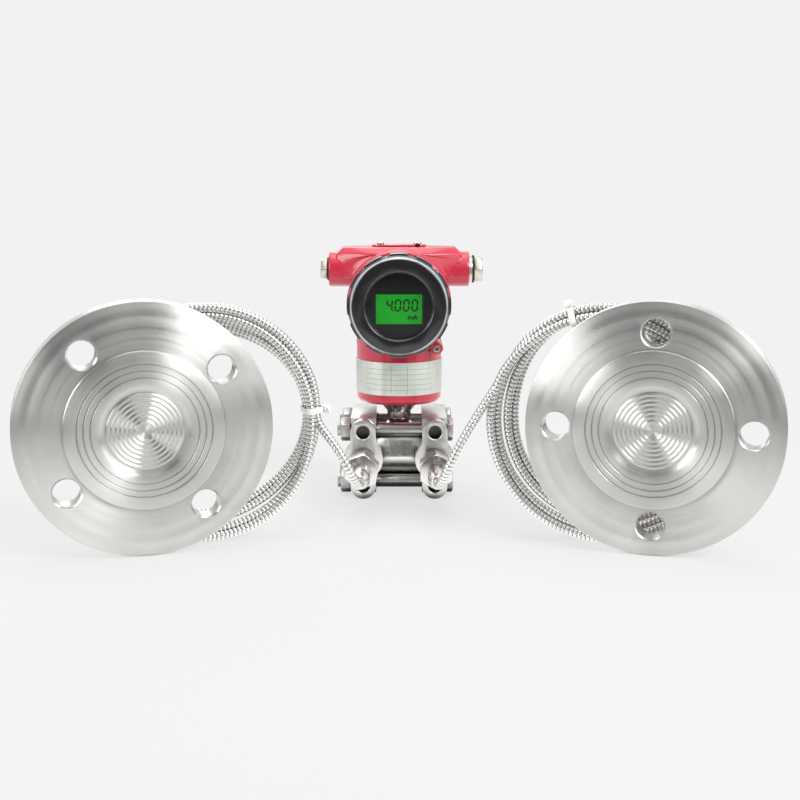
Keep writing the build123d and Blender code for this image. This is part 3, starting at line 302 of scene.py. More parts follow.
# Powder coat: a lacquer-like film with a fine orange peel
def powderCoat(name, base, deep, rough, gloss, peel=0.16, edge=None):
    made, tree, shader = startMaterial(name)
    place = objectPlace(tree)
    film = noise(tree, place, 520.0, 2.0, 0.4)
    cloud = noise(tree, place, 26.0, 3.0, 0.5)
    tone = mixColours(tree, spread(tree, cloud, 0.0, 0.5), base, deep)
    # painted highlight on the covers' bevel, where one is given
    if edge:
        tone = paintedBevelHighlight(tree, tone, edge)
    setInputs(tree, shader, {
        "Base Color": tone,
        "Roughness": spread(tree, cloud, rough - 0.03, rough + 0.05),
        "Specular IOR Level": 0.5, "Coat Weight": gloss, "Coat Roughness": 0.12,
        "Normal": bump(tree, film, peel, 0.00012),
        "Coat Normal": bump(tree, film, peel * 0.6, 0.00012),
    })
    return made


# Moulded plastic and rubber with a fine grain
def moulded(name, base, rough, grain=0.15, scale=2600.0, shine=0.5):
    made, tree, shader = startMaterial(name)
    place = objectPlace(tree)
    skin = noise(tree, place, scale, 2.0, 0.6)
    cloud = noise(tree, place, 60.0, 3.0, 0.5)
    setInputs(tree, shader, {
        "Base Color": mixColours(tree, spread(tree, cloud, 0.0, 0.6), base, darker(base, 0.85)),
        "Roughness": spread(tree, skin, rough - 0.05, rough + 0.05),
        "Specular IOR Level": shine, "Normal": bump(tree, skin, grain, 0.00005),
    })
    return made


# Nameplate: brushed metal with the empty rules of a table printed on its front
plateRules = {
    "rows": (4.4, 8.3, 12.2, 16.1, 20.0), "row": 0.22, "from": -25.0, "to": 25.0,
    "columns": (-6.0, 6.2), "column": 0.3, "foot": 2.2, "top": 22.6,
}


def plateMetal(name):
    made, tree, shader = startMaterial(name)
    size = plateRules
    place = objectPlace(tree)
    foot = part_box("nameplate")[0].z
    spot = vectorMath(tree, "SUBTRACT", place, (0, axisY, foot)).outputs["Vector"]
    parts = addNode(tree, "ShaderNodeSeparateXYZ", {0: spot}).outputs

    def stripe(value, middle, width):
        away = valueMath(tree, "ABSOLUTE", valueMath(tree, "SUBTRACT", value, middle * mm))
        return valueMath(tree, "LESS_THAN", away, width / 2 * mm)

    def inside(value, start, end):
        beyond = valueMath(tree, "GREATER_THAN", value, start * mm)
        return valueMath(tree, "MULTIPLY", beyond, valueMath(tree, "LESS_THAN", value, end * mm))

    printed = 0.0
    for row in size["rows"]:
        printed = valueMath(tree, "MAXIMUM", stripe(parts["Z"], row, size["row"]), printed)
    printed = valueMath(tree, "MULTIPLY", printed, inside(parts["X"], size["from"], size["to"]))
    for column in size["columns"]:
        line = stripe(parts["X"], column, size["column"])
        line = valueMath(tree, "MULTIPLY", line, inside(parts["Z"], size["foot"], size["top"]))
        printed = valueMath(tree, "MAXIMUM", printed, line)
    printed = valueMath(tree, "MULTIPLY", printed, valueMath(tree, "LESS_THAN", parts["Y"], 0.0))
    ink = valueMath(tree, "MULTIPLY", printed, 0.75)
    brushed = noise(tree, place, 320.0, 3.0, 0.6, (1.0, 1.0, 0.04))
    cloud = noise(tree, place, 60.0, 4.0, 0.6)
    metal = mixColours(tree, spread(tree, cloud, 0.0, 0.6), colour(226, 231, 222), colour(196, 201, 191))
    setInputs(tree, shader, {
        "Base Color": mixColours(tree, ink, metal, colour(58, 60, 58)),
        "Metallic": spread(tree, printed, 0.75, 0.2, 0.0, 1.0),
        "Roughness": spread(tree, brushed, 0.3, 0.44),
        "Normal": bump(tree, brushed, 0.15, 0.00004),
    })
    return made


# Clear pane: light goes straight through, the shine comes from the shader
def clearGlass(name):
    made, tree, shader = startMaterial(name)
    setInputs(tree, shader, {
        "Base Color": (0.97, 0.99, 0.98, 1.0), "Roughness": 0.015, "IOR": 1.5, "Transmission Weight": 1.0,
    })
    clear = addNode(tree, "ShaderNodeBsdfTransparent", {"Color": (0.95, 0.97, 0.96, 1.0)})
    rays = addNode(tree, "ShaderNodeLightPath").outputs
    mixed = mixShaders(tree, rays["Is Shadow Ray"], shader.outputs["BSDF"], clear.outputs["BSDF"])
    showInstead(tree, mixed)
    return made


# Display lit from behind, a little brighter in its middle
def litPanel(name, base, glow, strength):
    made, tree, shader = startMaterial(name)
    place = objectPlace(tree)
    low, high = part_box("lcd_panel")
    away = vectorMath(tree, "SUBTRACT", place, tuple((low + high) / 2)).outputs["Vector"]
    shrink = vectorMath(tree, "DIVIDE", away, tuple((high - low) / 2)).outputs["Vector"]
    distance = vectorMath(tree, "LENGTH", shrink).outputs["Value"]
    film = noise(tree, place, 900.0, 2.0)
    bright = mixColours(tree, spread(tree, distance, 0.0, 0.45, 0.0, 1.6), glow, base)
    setInputs(tree, shader, {
        "Base Color": base, "Roughness": 0.35, "Emission Color": bright, "Emission Strength": strength,
        "Specular IOR Level": 0.1, "Normal": bump(tree, film, 0.05, 0.00003),
    })
    return made


# Wound strip armour: bright crests, and painted shade that darkens the grooves
def armourSteel(name):
    made, tree, shader = startMaterial(name)
    place = objectPlace(tree)
    groove = addNode(tree, "ShaderNodeAttribute", attribute_name="groove").outputs["Fac"]
    cloud = noise(tree, place, 70.0, 4.0, 0.6)
    grain = noise(tree, place, 2500.0, 2.0)
    crest = mixColours(tree, spread(tree, cloud, 0.0, 0.7), colour(230, 229, 227), colour(206, 205, 202))
    setInputs(tree, shader, {
        # painted shade in the grooves between the strip's turns
        "Base Color": mixColours(tree, groove, crest, colour(116, 114, 111)), "Metallic": 0.85,
        "Roughness": spread(tree, cloud, 0.22, 0.36),
        "Normal": bump(tree, grain, 0.12, 0.00004),
    })
    return made


# Each seal's place, and its steel, whose rings run round its own middle
faceAhead = 11.5  # from the middle of the bolt holes to the seal's face
sealSteelTone = colour(212, 211, 208)
seal = {}
for side, sign in sideSign.items():
    mount = mounts[side + "_seal_bolts"]
    axis = Vector(mount["axis"])
    centre = Vector(mount["pos_m"]) + axis * (faceAhead * mm)
    seal[side] = {
        "axis": axis,
        "across": upwards.cross(axis) * -sign,
        "centre": centre,
        "steel": turnedSteel("turnedSealSteel" + side.capitalize(), centre, axis, sealSteelTone, 0.34, 0.9),
    }

coverBevel = {
    "centre": (0, axisY, barrelHeight),
    "inner": 34.4,  # radius where the painted highlight starts
    "from": 52.6,  # and its distance from the head's axis
    "blur": (0.5, 0.4),
    # colour of the painted highlight
    "tone": colour(206, 207, 216),
}

materials = {
    "cast_steel": castSteel("castSteel", colour(226, 225, 222), 0.3),
    "bolt_steel": plainSteel("boltSteel", colour(186, 184, 181), 0.30),
    "armour_steel": armourSteel("armourSteel"),
    "red_paint": powderCoat("redPaint", colour(206, 20, 62), colour(186, 10, 42), 0.36, 0.7),
    "neck_ring_red": moulded("neckRingRed", colour(112, 22, 34), 0.45),
    "black_paint": powderCoat(
        "blackPaint", colour(24, 22, 26), colour(17, 15, 19), 0.26, 0.8, peel=0.08, edge=coverBevel
    ),
    "nameplate_metal": plateMetal("nameplateMetal"),
    "plated_steel": plainSteel("platedSteel", colour(208, 202, 188), 0.26),
    "dark_rubber": moulded("darkRubber", colour(34, 33, 33), 0.75),
    "window_glass": clearGlass("windowGlass"),
    "bezel_black": moulded("bezelBlack", colour(12, 11, 13), 0.55, grain=0.0, scale=1500.0, shine=0.15),
    "display_green": litPanel("displayGreen", colour(4, 100, 12), colour(10, 152, 30), 0.86),
    "board_green": moulded("boardGreen", colour(16, 74, 42), 0.35),
    "blackened_screws": plainSteel("blackenedScrews", colour(30, 29, 30), 0.45),
    "module_black": moulded("moduleBlack", colour(30, 30, 32), 0.5),
    "terminal_plastic": moulded("terminalPlastic", colour(44, 44, 46), 0.45),
    "tie_nylon": moulded("tieNylon", colour(244, 244, 242), 0.35, grain=0.05, scale=1200.0),
    "button_plastic": moulded("buttonPlastic", colour(48, 46, 48), 0.4),
}
towardsRight = Vector((1, 0, 0))
towardsCamera = Vector((0, -1, 0))
portAside = 27.0  # of each port from the middle
turnedTone = colour(218, 216, 213)
capsuleTone = colour(232, 231, 229)
capsuleSteel = turnedSteel("capsuleSteel", (0, axisY, portHeight), towardsRight, capsuleTone, 0.24, 0.85)
neckSteel = turnedSteel("neckSteel", (0, axisY, 0), upwards, turnedTone, 0.16, 0.4)
fittingSteel = {}
for side, sign in sideSign.items():
    middle = (sign * portAside * mm, 0, portHeight)
    name = "fittingSteel" + side.capitalize()
    fittingSteel[side] = turnedSteel(name, middle, towardsCamera, turnedTone, 0.24, 0.5)
print("materials made")


# Pieces from the part's own solids: welded, flat faces joined, edges rounded


def linkObject(name, data):
    made = bpy.data.objects.new(name, data)
    scene.collection.objects.link(made)
    return made


def evaluatedMesh(piece, **options):
    graph = bpy.context.evaluated_depsgraph_get()
    graph.update()
    return bpy.data.meshes.new_from_object(piece.evaluated_get(graph), depsgraph=graph, **options)


def bake(piece):
    mesh = evaluatedMesh(piece, preserve_all_data_layers=True)
    piece.modifiers.clear()
    piece.data = mesh


def meshOf(work, name):
    mesh = bpy.data.meshes.new(name)
    work.to_mesh(mesh)
    work.free()
    return mesh


def smoothFaces(mesh, angle):
    mesh.shade_smooth()
    mesh.set_sharp_from_angle(angle=radians(angle))


finishing = {
    "weld": 0.002,
    "flat": 0.6,  # degrees between faces that are joined
    "corner": 32,  # degrees from which an edge is rounded
    "smooth": 34,
    "stray": 0.02,  # that rounding may reach out of the solids' box
}


def nodeMesh(node):
    work = bmesh.new()
    work.from_mesh(frame["nodes"][node].data)
    bmesh.ops.remove_doubles(work, verts=work.verts, dist=finishing["weld"] * mm)
    flat = radians(finishing["flat"])
    bmesh.ops.dissolve_limit(work, angle_limit=flat, verts=work.verts, edges=work.edges)
    mesh = meshOf(work, node)
    for name in ("custom_normal", "sharp_edge", "sharp_face"):
        if name in mesh.attributes:
            mesh.attributes.remove(mesh.attributes[name])
    return mesh


def roundEdges(piece, width, segments=2, angle=finishing["corner"], clamp=False):
    edge = piece.modifiers.new("edge", "BEVEL")
    edge.width = width * mm
    edge.segments = segments
    edge.limit_method = "ANGLE"
    edge.angle_limit = radians(angle)
    edge.use_clamp_overlap = clamp


def place(piece, nodes, body=None, slot=None):
    if nodes:
        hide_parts(*nodes)
    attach(piece, body or bodyOf[nodes[0]])
    return piece


# How far a mesh reaches out of its solids' box
def strays(mesh, node):
    low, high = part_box(node)
    return max(
        max(low[k] - vertex.co[k], vertex.co[k] - high[k]) for vertex in mesh.vertices for k in range(3)
    )


# A piece has its node's name: neck_stem becomes neckStem
def pieceName(node):
    first, *others = node.split("_")
    return first + "".join(word.capitalize() for word in others)


# The solids' piece with rounded edges. The rounding is clamped where it would leave their box.
def dress(node, material=None, width=0.25, segments=2):
    piece = linkObject(pieceName(node), nodeMesh(node))
    piece.data.materials.clear()
    piece.data.materials.append(material or materials[slotOf[node]])
    plain = piece.data.copy()
    for clamp in (False, True):
        if width:
            piece.data = plain.copy()
            roundEdges(piece, width, segments, clamp=clamp)
            bake(piece)
            if strays(piece.data, node) < finishing["stray"] * mm:
                break
    smoothFaces(piece.data, finishing["smooth"])
    return place(piece, [node])


# Takes a little off the hidden lower end, which clears the rounding of the bore's floor
def raiseFoot(piece, rise):
    lowest = min(vertex.co.z for vertex in piece.data.vertices)
    for vertex in piece.data.vertices:
        if vertex.co.z < lowest + rise * mm:
            vertex.co.z = lowest + rise * mm + (vertex.co.z - lowest) / 2


# Armoured capillaries. The route's points are the part's own; the coil's turns come from a loop.

armour = {
    "diameter": 6.0,
    "pitch": 2.9,  # one turn of the wound strip
    "profile": (2.55, 2.9, 2.99, 2.99, 2.9),  # radius at equal steps along one turn
    "groove": (1.0, 0.12, 0.0, 0.0, 0.12),  # how much painted shade at the same steps
    "sides": 14,
    "smooth": 80,
}

winding = {
    "setBack": 32.0,  # middle of the coil behind the seal's face
    "drop": 2.0,  # centre of the coil below the seal's
    "shift": {"left": 41.0, "right": 33.0},
    "tie": {"left": 4.0, "right": 71.6},  # degrees from the side of the transmitter, upwards
    "start": {"left": 14.2, "right": 43.2},
    "end": {"left": 1440.0 + 109.0, "right": 1440.0 + 98.0},
    "step": 15.0,
}

# Where each turn lies in the bundle, as radius and distance to the front, at five places
# round the coil. Nothing holds the turns but the tie, so they fan out away from it.
free = [(77.5, 6.0), (72.5, 2.0), (67.5, -2.0), (62.5, -6.0)]
entering = [(74.0, 1.5), (77.3, 6.0), (73.6, 2.0), (67.2, -2.0), (63.2, -6.0)]
tied = [(77.2, 3.2), (71.8, 6.2), (77.2, -3.0), (71.8, 0.0), (71.8, -6.2)]
leaving = [(77.5, 6.0), (71.8, 3.0), (68.6, 0.0), (65.2, -3.0), (62.5, -6.0)]
last = free[-1]
bundle = (
    (-180.0, [free[0]] + free),
    (-70.0, entering),
    (0.0, tied),
    (75.0, leaving),
    (180.0, free + [last]),
)

leadPoints = {
    "left": [
        (-27.0, -114.0, 30.15), (-27.0, -133.0, 30.15), (-32.0, -146.5, 44.0),
        (-41.5, -145.5, 61.0), (-52.5, -138.5, 74.0), (-56.0, -135.0, 79.5),
    ],
    "right": [
        (27.0, -114.0, 30.15), (27.0, -133.5, 30.15), (32.0, -148.0, 46.0), (42.5, -147.5, 67.5),
        (55.5, -143.0, 88.0), (68.0, -139.0, 106.5), (74.0, -137.0, 116.0),
    ],
}
# Across towards the transmitter, up and to the front, from the seal's centre at the coil's depth
tailPoints = {
    "left": [(10.0, 53.5, -4.8), (4.0, 49.0, -3.2), (0.6, 43.5, -1.2), (0.0, 39.5, 0.0), (0.0, 35.0, 0.0)],
    "right": [(10.0, 61.5, -5.2), (4.2, 55.5, -3.8), (0.8, 48.0, -1.6), (0.0, 41.0, 0.0), (0.0, 35.0, 0.0)],
}


def coilCentre(side):
    spot = seal[side]
    away = spot["across"] * winding["shift"][side] - spot["axis"] * winding["setBack"]
    return spot["centre"] + (away - upwards * winding["drop"]) * mm


# Radius and distance to the front of the strand at an angle that counts the turns
def strandPlace(angle):
    turn = floor((angle + 180) / 360)
    local = angle - 360 * turn
    for (before, first), (after, second) in zip(bundle, bundle[1:]):
        if local <= after:
            share = (local - before) / (after - before)
            ease = share * share * (3 - 2 * share)
            start, end = first[turn], second[turn]
            return start[0] + (end[0] - start[0]) * ease, start[1] + (end[1] - start[1]) * ease
    return last


def capillaryRoute(side):
    spot = seal[side]
    centre = coilCentre(side)
    toFrame = Vector((0, axisY, 0))
    points = [Vector(point) * mm + toFrame for point in leadPoints[side]]
    angle = winding["start"][side]
    pull = 0.75 + 0.25 * cos(radians(winding["step"]))  # the spline runs inside its control points
    while angle <= winding["end"][side]:
        radius, front = strandPlace(angle - winding["tie"][side])
        turn = radians(angle)
        flat = spot["across"] * cos(turn) + upwards * sin(turn)
        points.append(centre + (flat * radius / pull + spot["axis"] * front) * mm)
        angle += winding["step"]
    for across, up, front in tailPoints[side]:
        away = spot["across"] * across + upwards * up + spot["axis"] * (front - winding["setBack"])
        points.append(spot["centre"] + away * mm)
    return points


def splinePoints(name, points):
    data = bpy.data.curves.new(name, "CURVE")
    data.dimensions = "3D"
    data.resolution_u = 8
    spline = data.splines.new("NURBS")
    spline.points.add(len(points) - 1)
    for slot, point in zip(spline.points, points):
        slot.co = (*point, 1.0)
    spline.order_u = 3
    spline.use_endpoint_u = True
    holder = linkObject(name, data)
    mesh = evaluatedMesh(holder)
    read = [vertex.co.copy() for vertex in mesh.vertices]
    bpy.data.objects.remove(holder)
    bpy.data.curves.remove(data)
    return mesh, read


# The tree that winds the armour: even stations along the route, a radius for each by its
# place in the turn of the strip, then a tube with closed ends.
def armourTree(material):
    tree = bpy.data.node_groups.new("windArmour", "GeometryNodeTree")
    radii = ["Radius %d" % (number + 1) for number in range(len(armour["profile"]))]
    kinds = {"Route": "Geometry", "Step": "Float"}
    kinds.update({name: "Float" for name in radii})
    kinds["Sides"] = "Int"
    for name, kind in kinds.items():
        tree.interface.new_socket(name, in_out="INPUT", socket_type="NodeSocket" + kind)
    tree.interface.new_socket("Armour", in_out="OUTPUT", socket_type="NodeSocketGeometry")
    given = tree.nodes.new("NodeGroupInput").outputs
    curve = addNode(tree, "GeometryNodeMeshToCurve", {"Mesh": given["Route"]}).outputs["Curve"]
    steps = {"Curve": curve, "Length": given["Step"]}
    even = addNode(tree, "GeometryNodeResampleCurve", steps, mode="LENGTH")
    index = addNode(tree, "GeometryNodeInputIndex").outputs["Index"]
    station = valueMath(tree, "MODULO", index, len(radii))

    def byStation(values):
        total = 0.0
        for number, value in enumerate(values):
            here = addNode(tree, "ShaderNodeMath", {0: station, 1: number, 2: 0.1}, operation="COMPARE")
            total = valueMath(tree, "ADD", valueMath(tree, "MULTIPLY", here.outputs[0], value), total)
        return total

    radius = byStation([given[name] for name in radii])
    # how much painted groove shade each station gets, read by the armour's material
    marks = {"Geometry": even.outputs["Curve"], "Name": "groove", "Value": byStation(armour["groove"])}
    mark = addNode(tree, "GeometryNodeStoreNamedAttribute", marks, data_type="FLOAT", domain="POINT")
    ring = addNode(tree, "GeometryNodeCurvePrimitiveCircle", {"Resolution": given["Sides"], "Radius": 1.0})
    tube = addNode(tree, "GeometryNodeCurveToMesh", {
        "Curve": mark.outputs["Geometry"], "Profile Curve": ring.outputs["Curve"], "Scale": radius,
        "Fill Caps": True,
    })
    real = addNode(tree, "GeometryNodeRealizeInstances", {"Geometry": tube.outputs["Mesh"]})
    finish = addNode(
        tree, "GeometryNodeSetMaterial", {"Geometry": real.outputs["Geometry"], "Material": material}
    )
    addNode(tree, "NodeGroupOutput", {"Armour": finish.outputs["Geometry"]})
    return tree


def setTreeInput(modifier, name, value):
    for item in modifier.node_group.interface.items_tree:
        if item.item_type == "SOCKET" and item.in_out == "INPUT" and item.name == name:
            modifier[item.identifier] = value


windArmour = armourTree(materials["armour_steel"])


def capillary(side):
    mesh, read = splinePoints("route" + side.capitalize(), capillaryRoute(side))
    piece = linkObject("armouredCapillary" + side.capitalize(), mesh)
    wind = piece.modifiers.new("wind", "NODES")
    wind.node_group = windArmour
    setTreeInput(wind, "Step", armour["pitch"] * mm / len(armour["profile"]))
    for number, radius in enumerate(armour["profile"]):
        setTreeInput(wind, "Radius %d" % (number + 1), radius * mm)
    setTreeInput(wind, "Sides", armour["sides"])
    bake(piece)
    smoothFaces(piece.data, armour["smooth"])
    length = sum((b - a).length for a, b in zip(read, read[1:]))
    print("capillary", side, "length", round(length, 3), "m,", len(piece.data.polygons), "faces")
    return piece, read, length


# Nylon tie round the turns that it holds: a belt over the hull of the strands, its lock and tail

tieShape = {
    "clear": 0.25,
    "thick": 1.1,
    "width": 4.2,
    "lock": (6.4, 5.0, 4.4),  # to the front, along the turns and outwards
    "lockSunk": 0.4,
    "lockForward": 1.0,
    "stub": 7.0,
    "stubWidth": 3.36,
    "stubSunk": 1.0,
    "edge": 0.3,
    "corner": 40,  # degrees, like the next
    "smooth": 45,
}


def hullOutline(spots, radius, steps=28):
    rim = sorted(
        (x + radius * cos(2 * pi * n / steps), y + radius * sin(2 * pi * n / steps))
        for x, y in spots for n in range(steps)
    )

    def half(points):
        chain = []
        for point in points:
            while len(chain) > 1:
                (ax, ay), (bx, by) = chain[-2], chain[-1]
                if (bx - ax) * (point[1] - ay) - (by - ay) * (point[0] - ax) > 0:
                    break
                chain.pop()
            chain.append(point)
        return chain[:-1]

    return half(rim) + half(rim[::-1])


def cableTie(side):
    size = tieShape
    forward = seal[side]["axis"]
    centre = coilCentre(side)
    turn = radians(winding["tie"][side])
    outwards = seal[side]["across"] * cos(turn) + upwards * sin(turn)
    along = forward.cross(outwards).normalized()
    work = bmesh.new()
    room = armour["diameter"] / 2 + size["clear"]
    inner = hullOutline(tied, room)
    outer = hullOutline(tied, room + size["thick"])
    half = size["width"] / 2

    def corner(pair, offset):
        return work.verts.new(centre + (outwards * pair[0] + forward * pair[1] + along * offset) * mm)

    rows = []
    for inside, outside in zip(inner, outer):
        pairs = ((inside, -half), (outside, -half), (outside, half), (inside, half))
        rows.append([corner(pair, offset) for pair, offset in pairs])
    for number, row in enumerate(rows):
        after = rows[(number + 1) % len(rows)]
        for k in range(4):
            m = (k + 1) % 4
            work.faces.new((row[k], row[m], after[m], after[k]))
    turned = Matrix((along, forward, outwards)).transposed().to_4x4()

    def block(middle, wide, long, high):
        scaled = Matrix.Diagonal((wide * mm, long * mm, high * mm, 1))
        bmesh.ops.create_cube(work, size=1.0, matrix=Matrix.Translation(middle) @ turned @ scaled)

    long, wide, high = size["lock"]
    reach = max(pair[0] for pair in outer) + high / 2 - size["lockSunk"]
    lock = centre + (outwards * reach + forward * (tied[0][1] + size["lockForward"])) * mm
    block(lock, wide, long, high)
    beyond = long / 2 + size["stub"] / 2 - size["stubSunk"]
    block(lock + forward * beyond * mm, size["stubWidth"], size["stub"], size["thick"])
    bmesh.ops.recalc_face_normals(work, faces=work.faces)
    piece = linkObject("cableTie" + side.capitalize(), meshOf(work, "tie"))
    piece.data.materials.append(materials["tie_nylon"])
    roundEdges(piece, size["edge"], angle=size["corner"])
    bake(piece)
    smoothFaces(piece.data, size["smooth"])
    return piece


ties = {}
for side in sideSign:
    ties[side] = cableTie(side)
    place(ties[side], ["cable_ties"])
for side in sideSign:
    piece, read, length = capillary(side)
    nodes = ["capillary_" + name + "_" + side for name in ("lead", "coil", "tail")]
    place(piece, nodes)
print("capillaries wound")


# Remote seals: turned flange with grooved raised face and a corrugated diaphragm


def lathe(name, profile, centre, axis, across, segments=192):
    work = bmesh.new()
    side = axis.cross(across)
    rings = []
    for radius, height in profile:
        middle = centre + axis * height * mm
        if radius == 0:
            rings.append([work.verts.new(middle)])
            continue
        ring = []
        for number in range(segments):
            turn = 2 * pi * number / segments
            ring.append(work.verts.new(middle + (across * cos(turn) + side * sin(turn)) * radius * mm))
        rings.append(ring)
    for low, high in zip(rings, rings[1:]):
        for number in range(segments):
            after = (number + 1) % segments
            if len(low) == 1:
                work.faces.new((low[0], high[number], high[after]))
            elif len(high) == 1:
                work.faces.new((low[number], low[after], high[0]))
            else:
                work.faces.new((low[number], low[after], high[after], high[number]))
    bmesh.ops.recalc_face_normals(work, faces=work.faces)
    return linkObject(name, meshOf(work, name))


sealShape = {
    "radius": 82.5,
    "thickness": 20.0,
    "smooth": 28,
    "step": 3.0,
    "faceRadius": 51.0,
    "faceLip": ((-0.5, 0.0), (-0.15, -0.15), (0.0, -0.5)),  # out from that radius, and up
    "faceFoot": 0.45,
    "edge": 0.9,
    "bulge": 0.27,  # of the rims' rounded edge
    "grooves": (34.3, 38.7, 42.8),
    "groove": (0.55, 0.12, 0.55),  # half its width at the face and at its foot, and its depth
    "recessRadius": 29.0,
    "recessLip": ((-0.2, -0.25), (0.35, 0.0)),
    "recessDepth": 1.4,
    "diaphragmRoom": 0.6,
    "holeCircle": 62.5,
    "holeRadius": 9.0,
    "holeChamfer": 0.9,
    "holeSides": 64,
    "drillPast": 1.0,
    "holeTurn": {"left": 37.0, "right": 0.0},
    "diaphragmRadius": 25.0,
    "discRadius": 4.7,
    "waves": 7,
    "waveSteps": 10,
    "waveSides": 160,
    "waveSmooth": 50,
    "waveHeight": 0.6,
    "foil": 0.3,
}


def sealFlange(side):
    size = sealShape
    spot = seal[side]
    radius, edge, bulge, step = size["radius"], size["edge"], size["bulge"], size["step"]
    face, foot, floorLevel = size["faceRadius"], size["faceFoot"], -size["recessDepth"]
    profile = [(0, floorLevel), (size["diaphragmRadius"] + size["diaphragmRoom"], floorLevel)]
    profile += [(size["recessRadius"] + out, up) for out, up in size["recessLip"]]
    half, narrow, deep = size["groove"]
    for middle in size["grooves"]:
        profile += [(middle - half, 0), (middle - narrow, -deep)]
        profile += [(middle + narrow, -deep), (middle + half, 0)]
    profile += [(face + out, up) for out, up in size["faceLip"]]
    profile += [(face, foot - step), (face + foot, -step)]
    profile += [(radius - edge, -step), (radius - bulge, -step - bulge), (radius, -step - edge)]
    back = -size["thickness"]
    profile += [(radius, back + edge), (radius - bulge, back + bulge), (radius - edge, back), (0, back)]
    piece = lathe("sealFlange" + side.capitalize(), profile, spot["centre"], spot["axis"], spot["across"])
    piece.data.materials.append(spot["steel"])
    hole, chamfer, past = size["holeRadius"], size["holeChamfer"], size["drillPast"]
    wide = hole + chamfer + past
    drill = [(0, back - past), (wide, back - past), (hole, back + chamfer), (hole, -step - chamfer)]
    drill += [(wide, -step + past), (0, -step + past)]
    upright = spot["axis"].cross(spot["across"])
    for number in range(4):
        turn = radians(size["holeTurn"][side] + 90 * number)
        away = (spot["across"] * cos(turn) + upright * sin(turn)) * size["holeCircle"] * mm
        middle = spot["centre"] + away
        tool = lathe("drill", drill, middle, spot["axis"], spot["across"], size["holeSides"])
        cut = piece.modifiers.new("hole", "BOOLEAN")
        cut.operation = "DIFFERENCE"
        cut.solver = "EXACT"
        cut.object = tool
        bake(piece)
        bpy.data.objects.remove(tool)
    smoothFaces(piece.data, size["smooth"])
    place(piece, ["seal_flange_" + side])


def sealDiaphragm(side):
    size = sealShape
    spot = seal[side]
    pitch = (size["diaphragmRadius"] - size["discRadius"]) / size["waves"]
    floorLevel = -size["recessDepth"]
    trough = size["foil"] + floorLevel
    profile = [(0, trough), (size["discRadius"], trough)]
    steps = size["waveSteps"]
    for number in range(1, size["waves"] * steps):
        share = number / steps
        height = trough + size["waveHeight"] * (1 - cos(2 * pi * share)) / 2
        profile.append((size["discRadius"] + share * pitch, height))
    profile += [(size["diaphragmRadius"], trough), (size["diaphragmRadius"], floorLevel), (0, floorLevel)]
    name = "sealDiaphragm" + side.capitalize()
    piece = lathe(name, profile, spot["centre"], spot["axis"], spot["across"], size["waveSides"])
    piece.data.materials.append(spot["steel"])
    smoothFaces(piece.data, size["waveSmooth"])
    place(piece, ["seal_diaphragm_" + side])


for side in sideSign:
    sealFlange(side)
    sealDiaphragm(side)
    dress("seal_connector_" + side, seal[side]["steel"], 0.3)
    dress("seal_sleeve_" + side, neckSteel)
dress("fill_plugs", width=0.2)
print("seals made")


# Measuring cell

for side in sideSign:
    dress("process_flange_" + side, width=0.7, segments=3)
    dress("capillary_fitting_" + side, fittingSteel[side], 0.35)
    dress("capillary_sleeve_" + side, fittingSteel[side], 0.3)
dress("sensor_capsule", capsuleSteel, 0.3)
for node in ("flange_bolts", "flange_nuts", "vent_plugs"):
    dress(node, width=0.3)
dress("neck_stem", neckSteel, 0.2)
dress("neck_ring", width=0.2)
print("cell made")


# Head

# How wide each piece's edges are rounded
headEdges = {
    "housing": 0.9, "head_lock_screw": 0.2, "nameplate": 0.12, "nameplate_rivets": 0.15,
    "button_plate": 0.35, "plate_screws": 0.15, "zero_button": 0.2, "span_button": 0.2,
    "conduit_plug_left": 0.3, "conduit_plug_right": 0.3, "conduit_washers": 0.25,
    "cover_lock_screws": 0.15, "earth_screw": 0.2, "display_cover": 0.4, "window_glass": 0,
    "window_retainer": 0.2, "terminal_cover": 0.4, "display_bezel": 0.25, "module_screws": 0.15,
}
edgeSteps = {"housing": 3, "nameplate": 1}
ownMaterial = {"module_screws": materials["blackened_screws"]}
footRise = {"zero_button": 0.6, "span_button": 0.6}

for node, width in headEdges.items():
    piece = dress(node, ownMaterial.get(node), width, edgeSteps.get(node, 2))
    if node in footRise:
        raiseFoot(piece, footRise[node])
print("head made")


# Readout on the display: seven-bar digits and the unit

readout = {
    "value": "4.000",
    "border": 2.0,  # from the panel's edges to where the rest is measured from
    "left": 7.9,  # from the panel's left edge to the first digit
    "top": 4.2,  # from the panel's top edge
    "digit": (3.7, 7.8),
    "pitch": 6.2,
    "bar": 1.3,
    "gap": 0.12,
    "slant": 0.07,
    "dot": (0.5, -0.6, 0.5),  # half its width, its foot and its top
    "unitHeight": 3.7,
    "unitLeft": 23.4,
    "unitTop": 14.9,
    "unitBold": 0.2,
    "unitThick": 0.01,
    "capitals": 0.72,  # their height as a share of the letters' size
    "lift": 0.1,
    "back": 0.02,
    "marks": ((0.9, 2.0), (31.2, 1.4)),
    "mark": (0.8, 1.1),
}
barsOf = {"0": "abcdef", "4": "bcfg"}
readoutInk = moulded("readoutInk", colour(1, 34, 10), 0.8, grain=0.0, scale=1200.0, shine=0.1)
panelLow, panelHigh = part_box("lcd_panel")


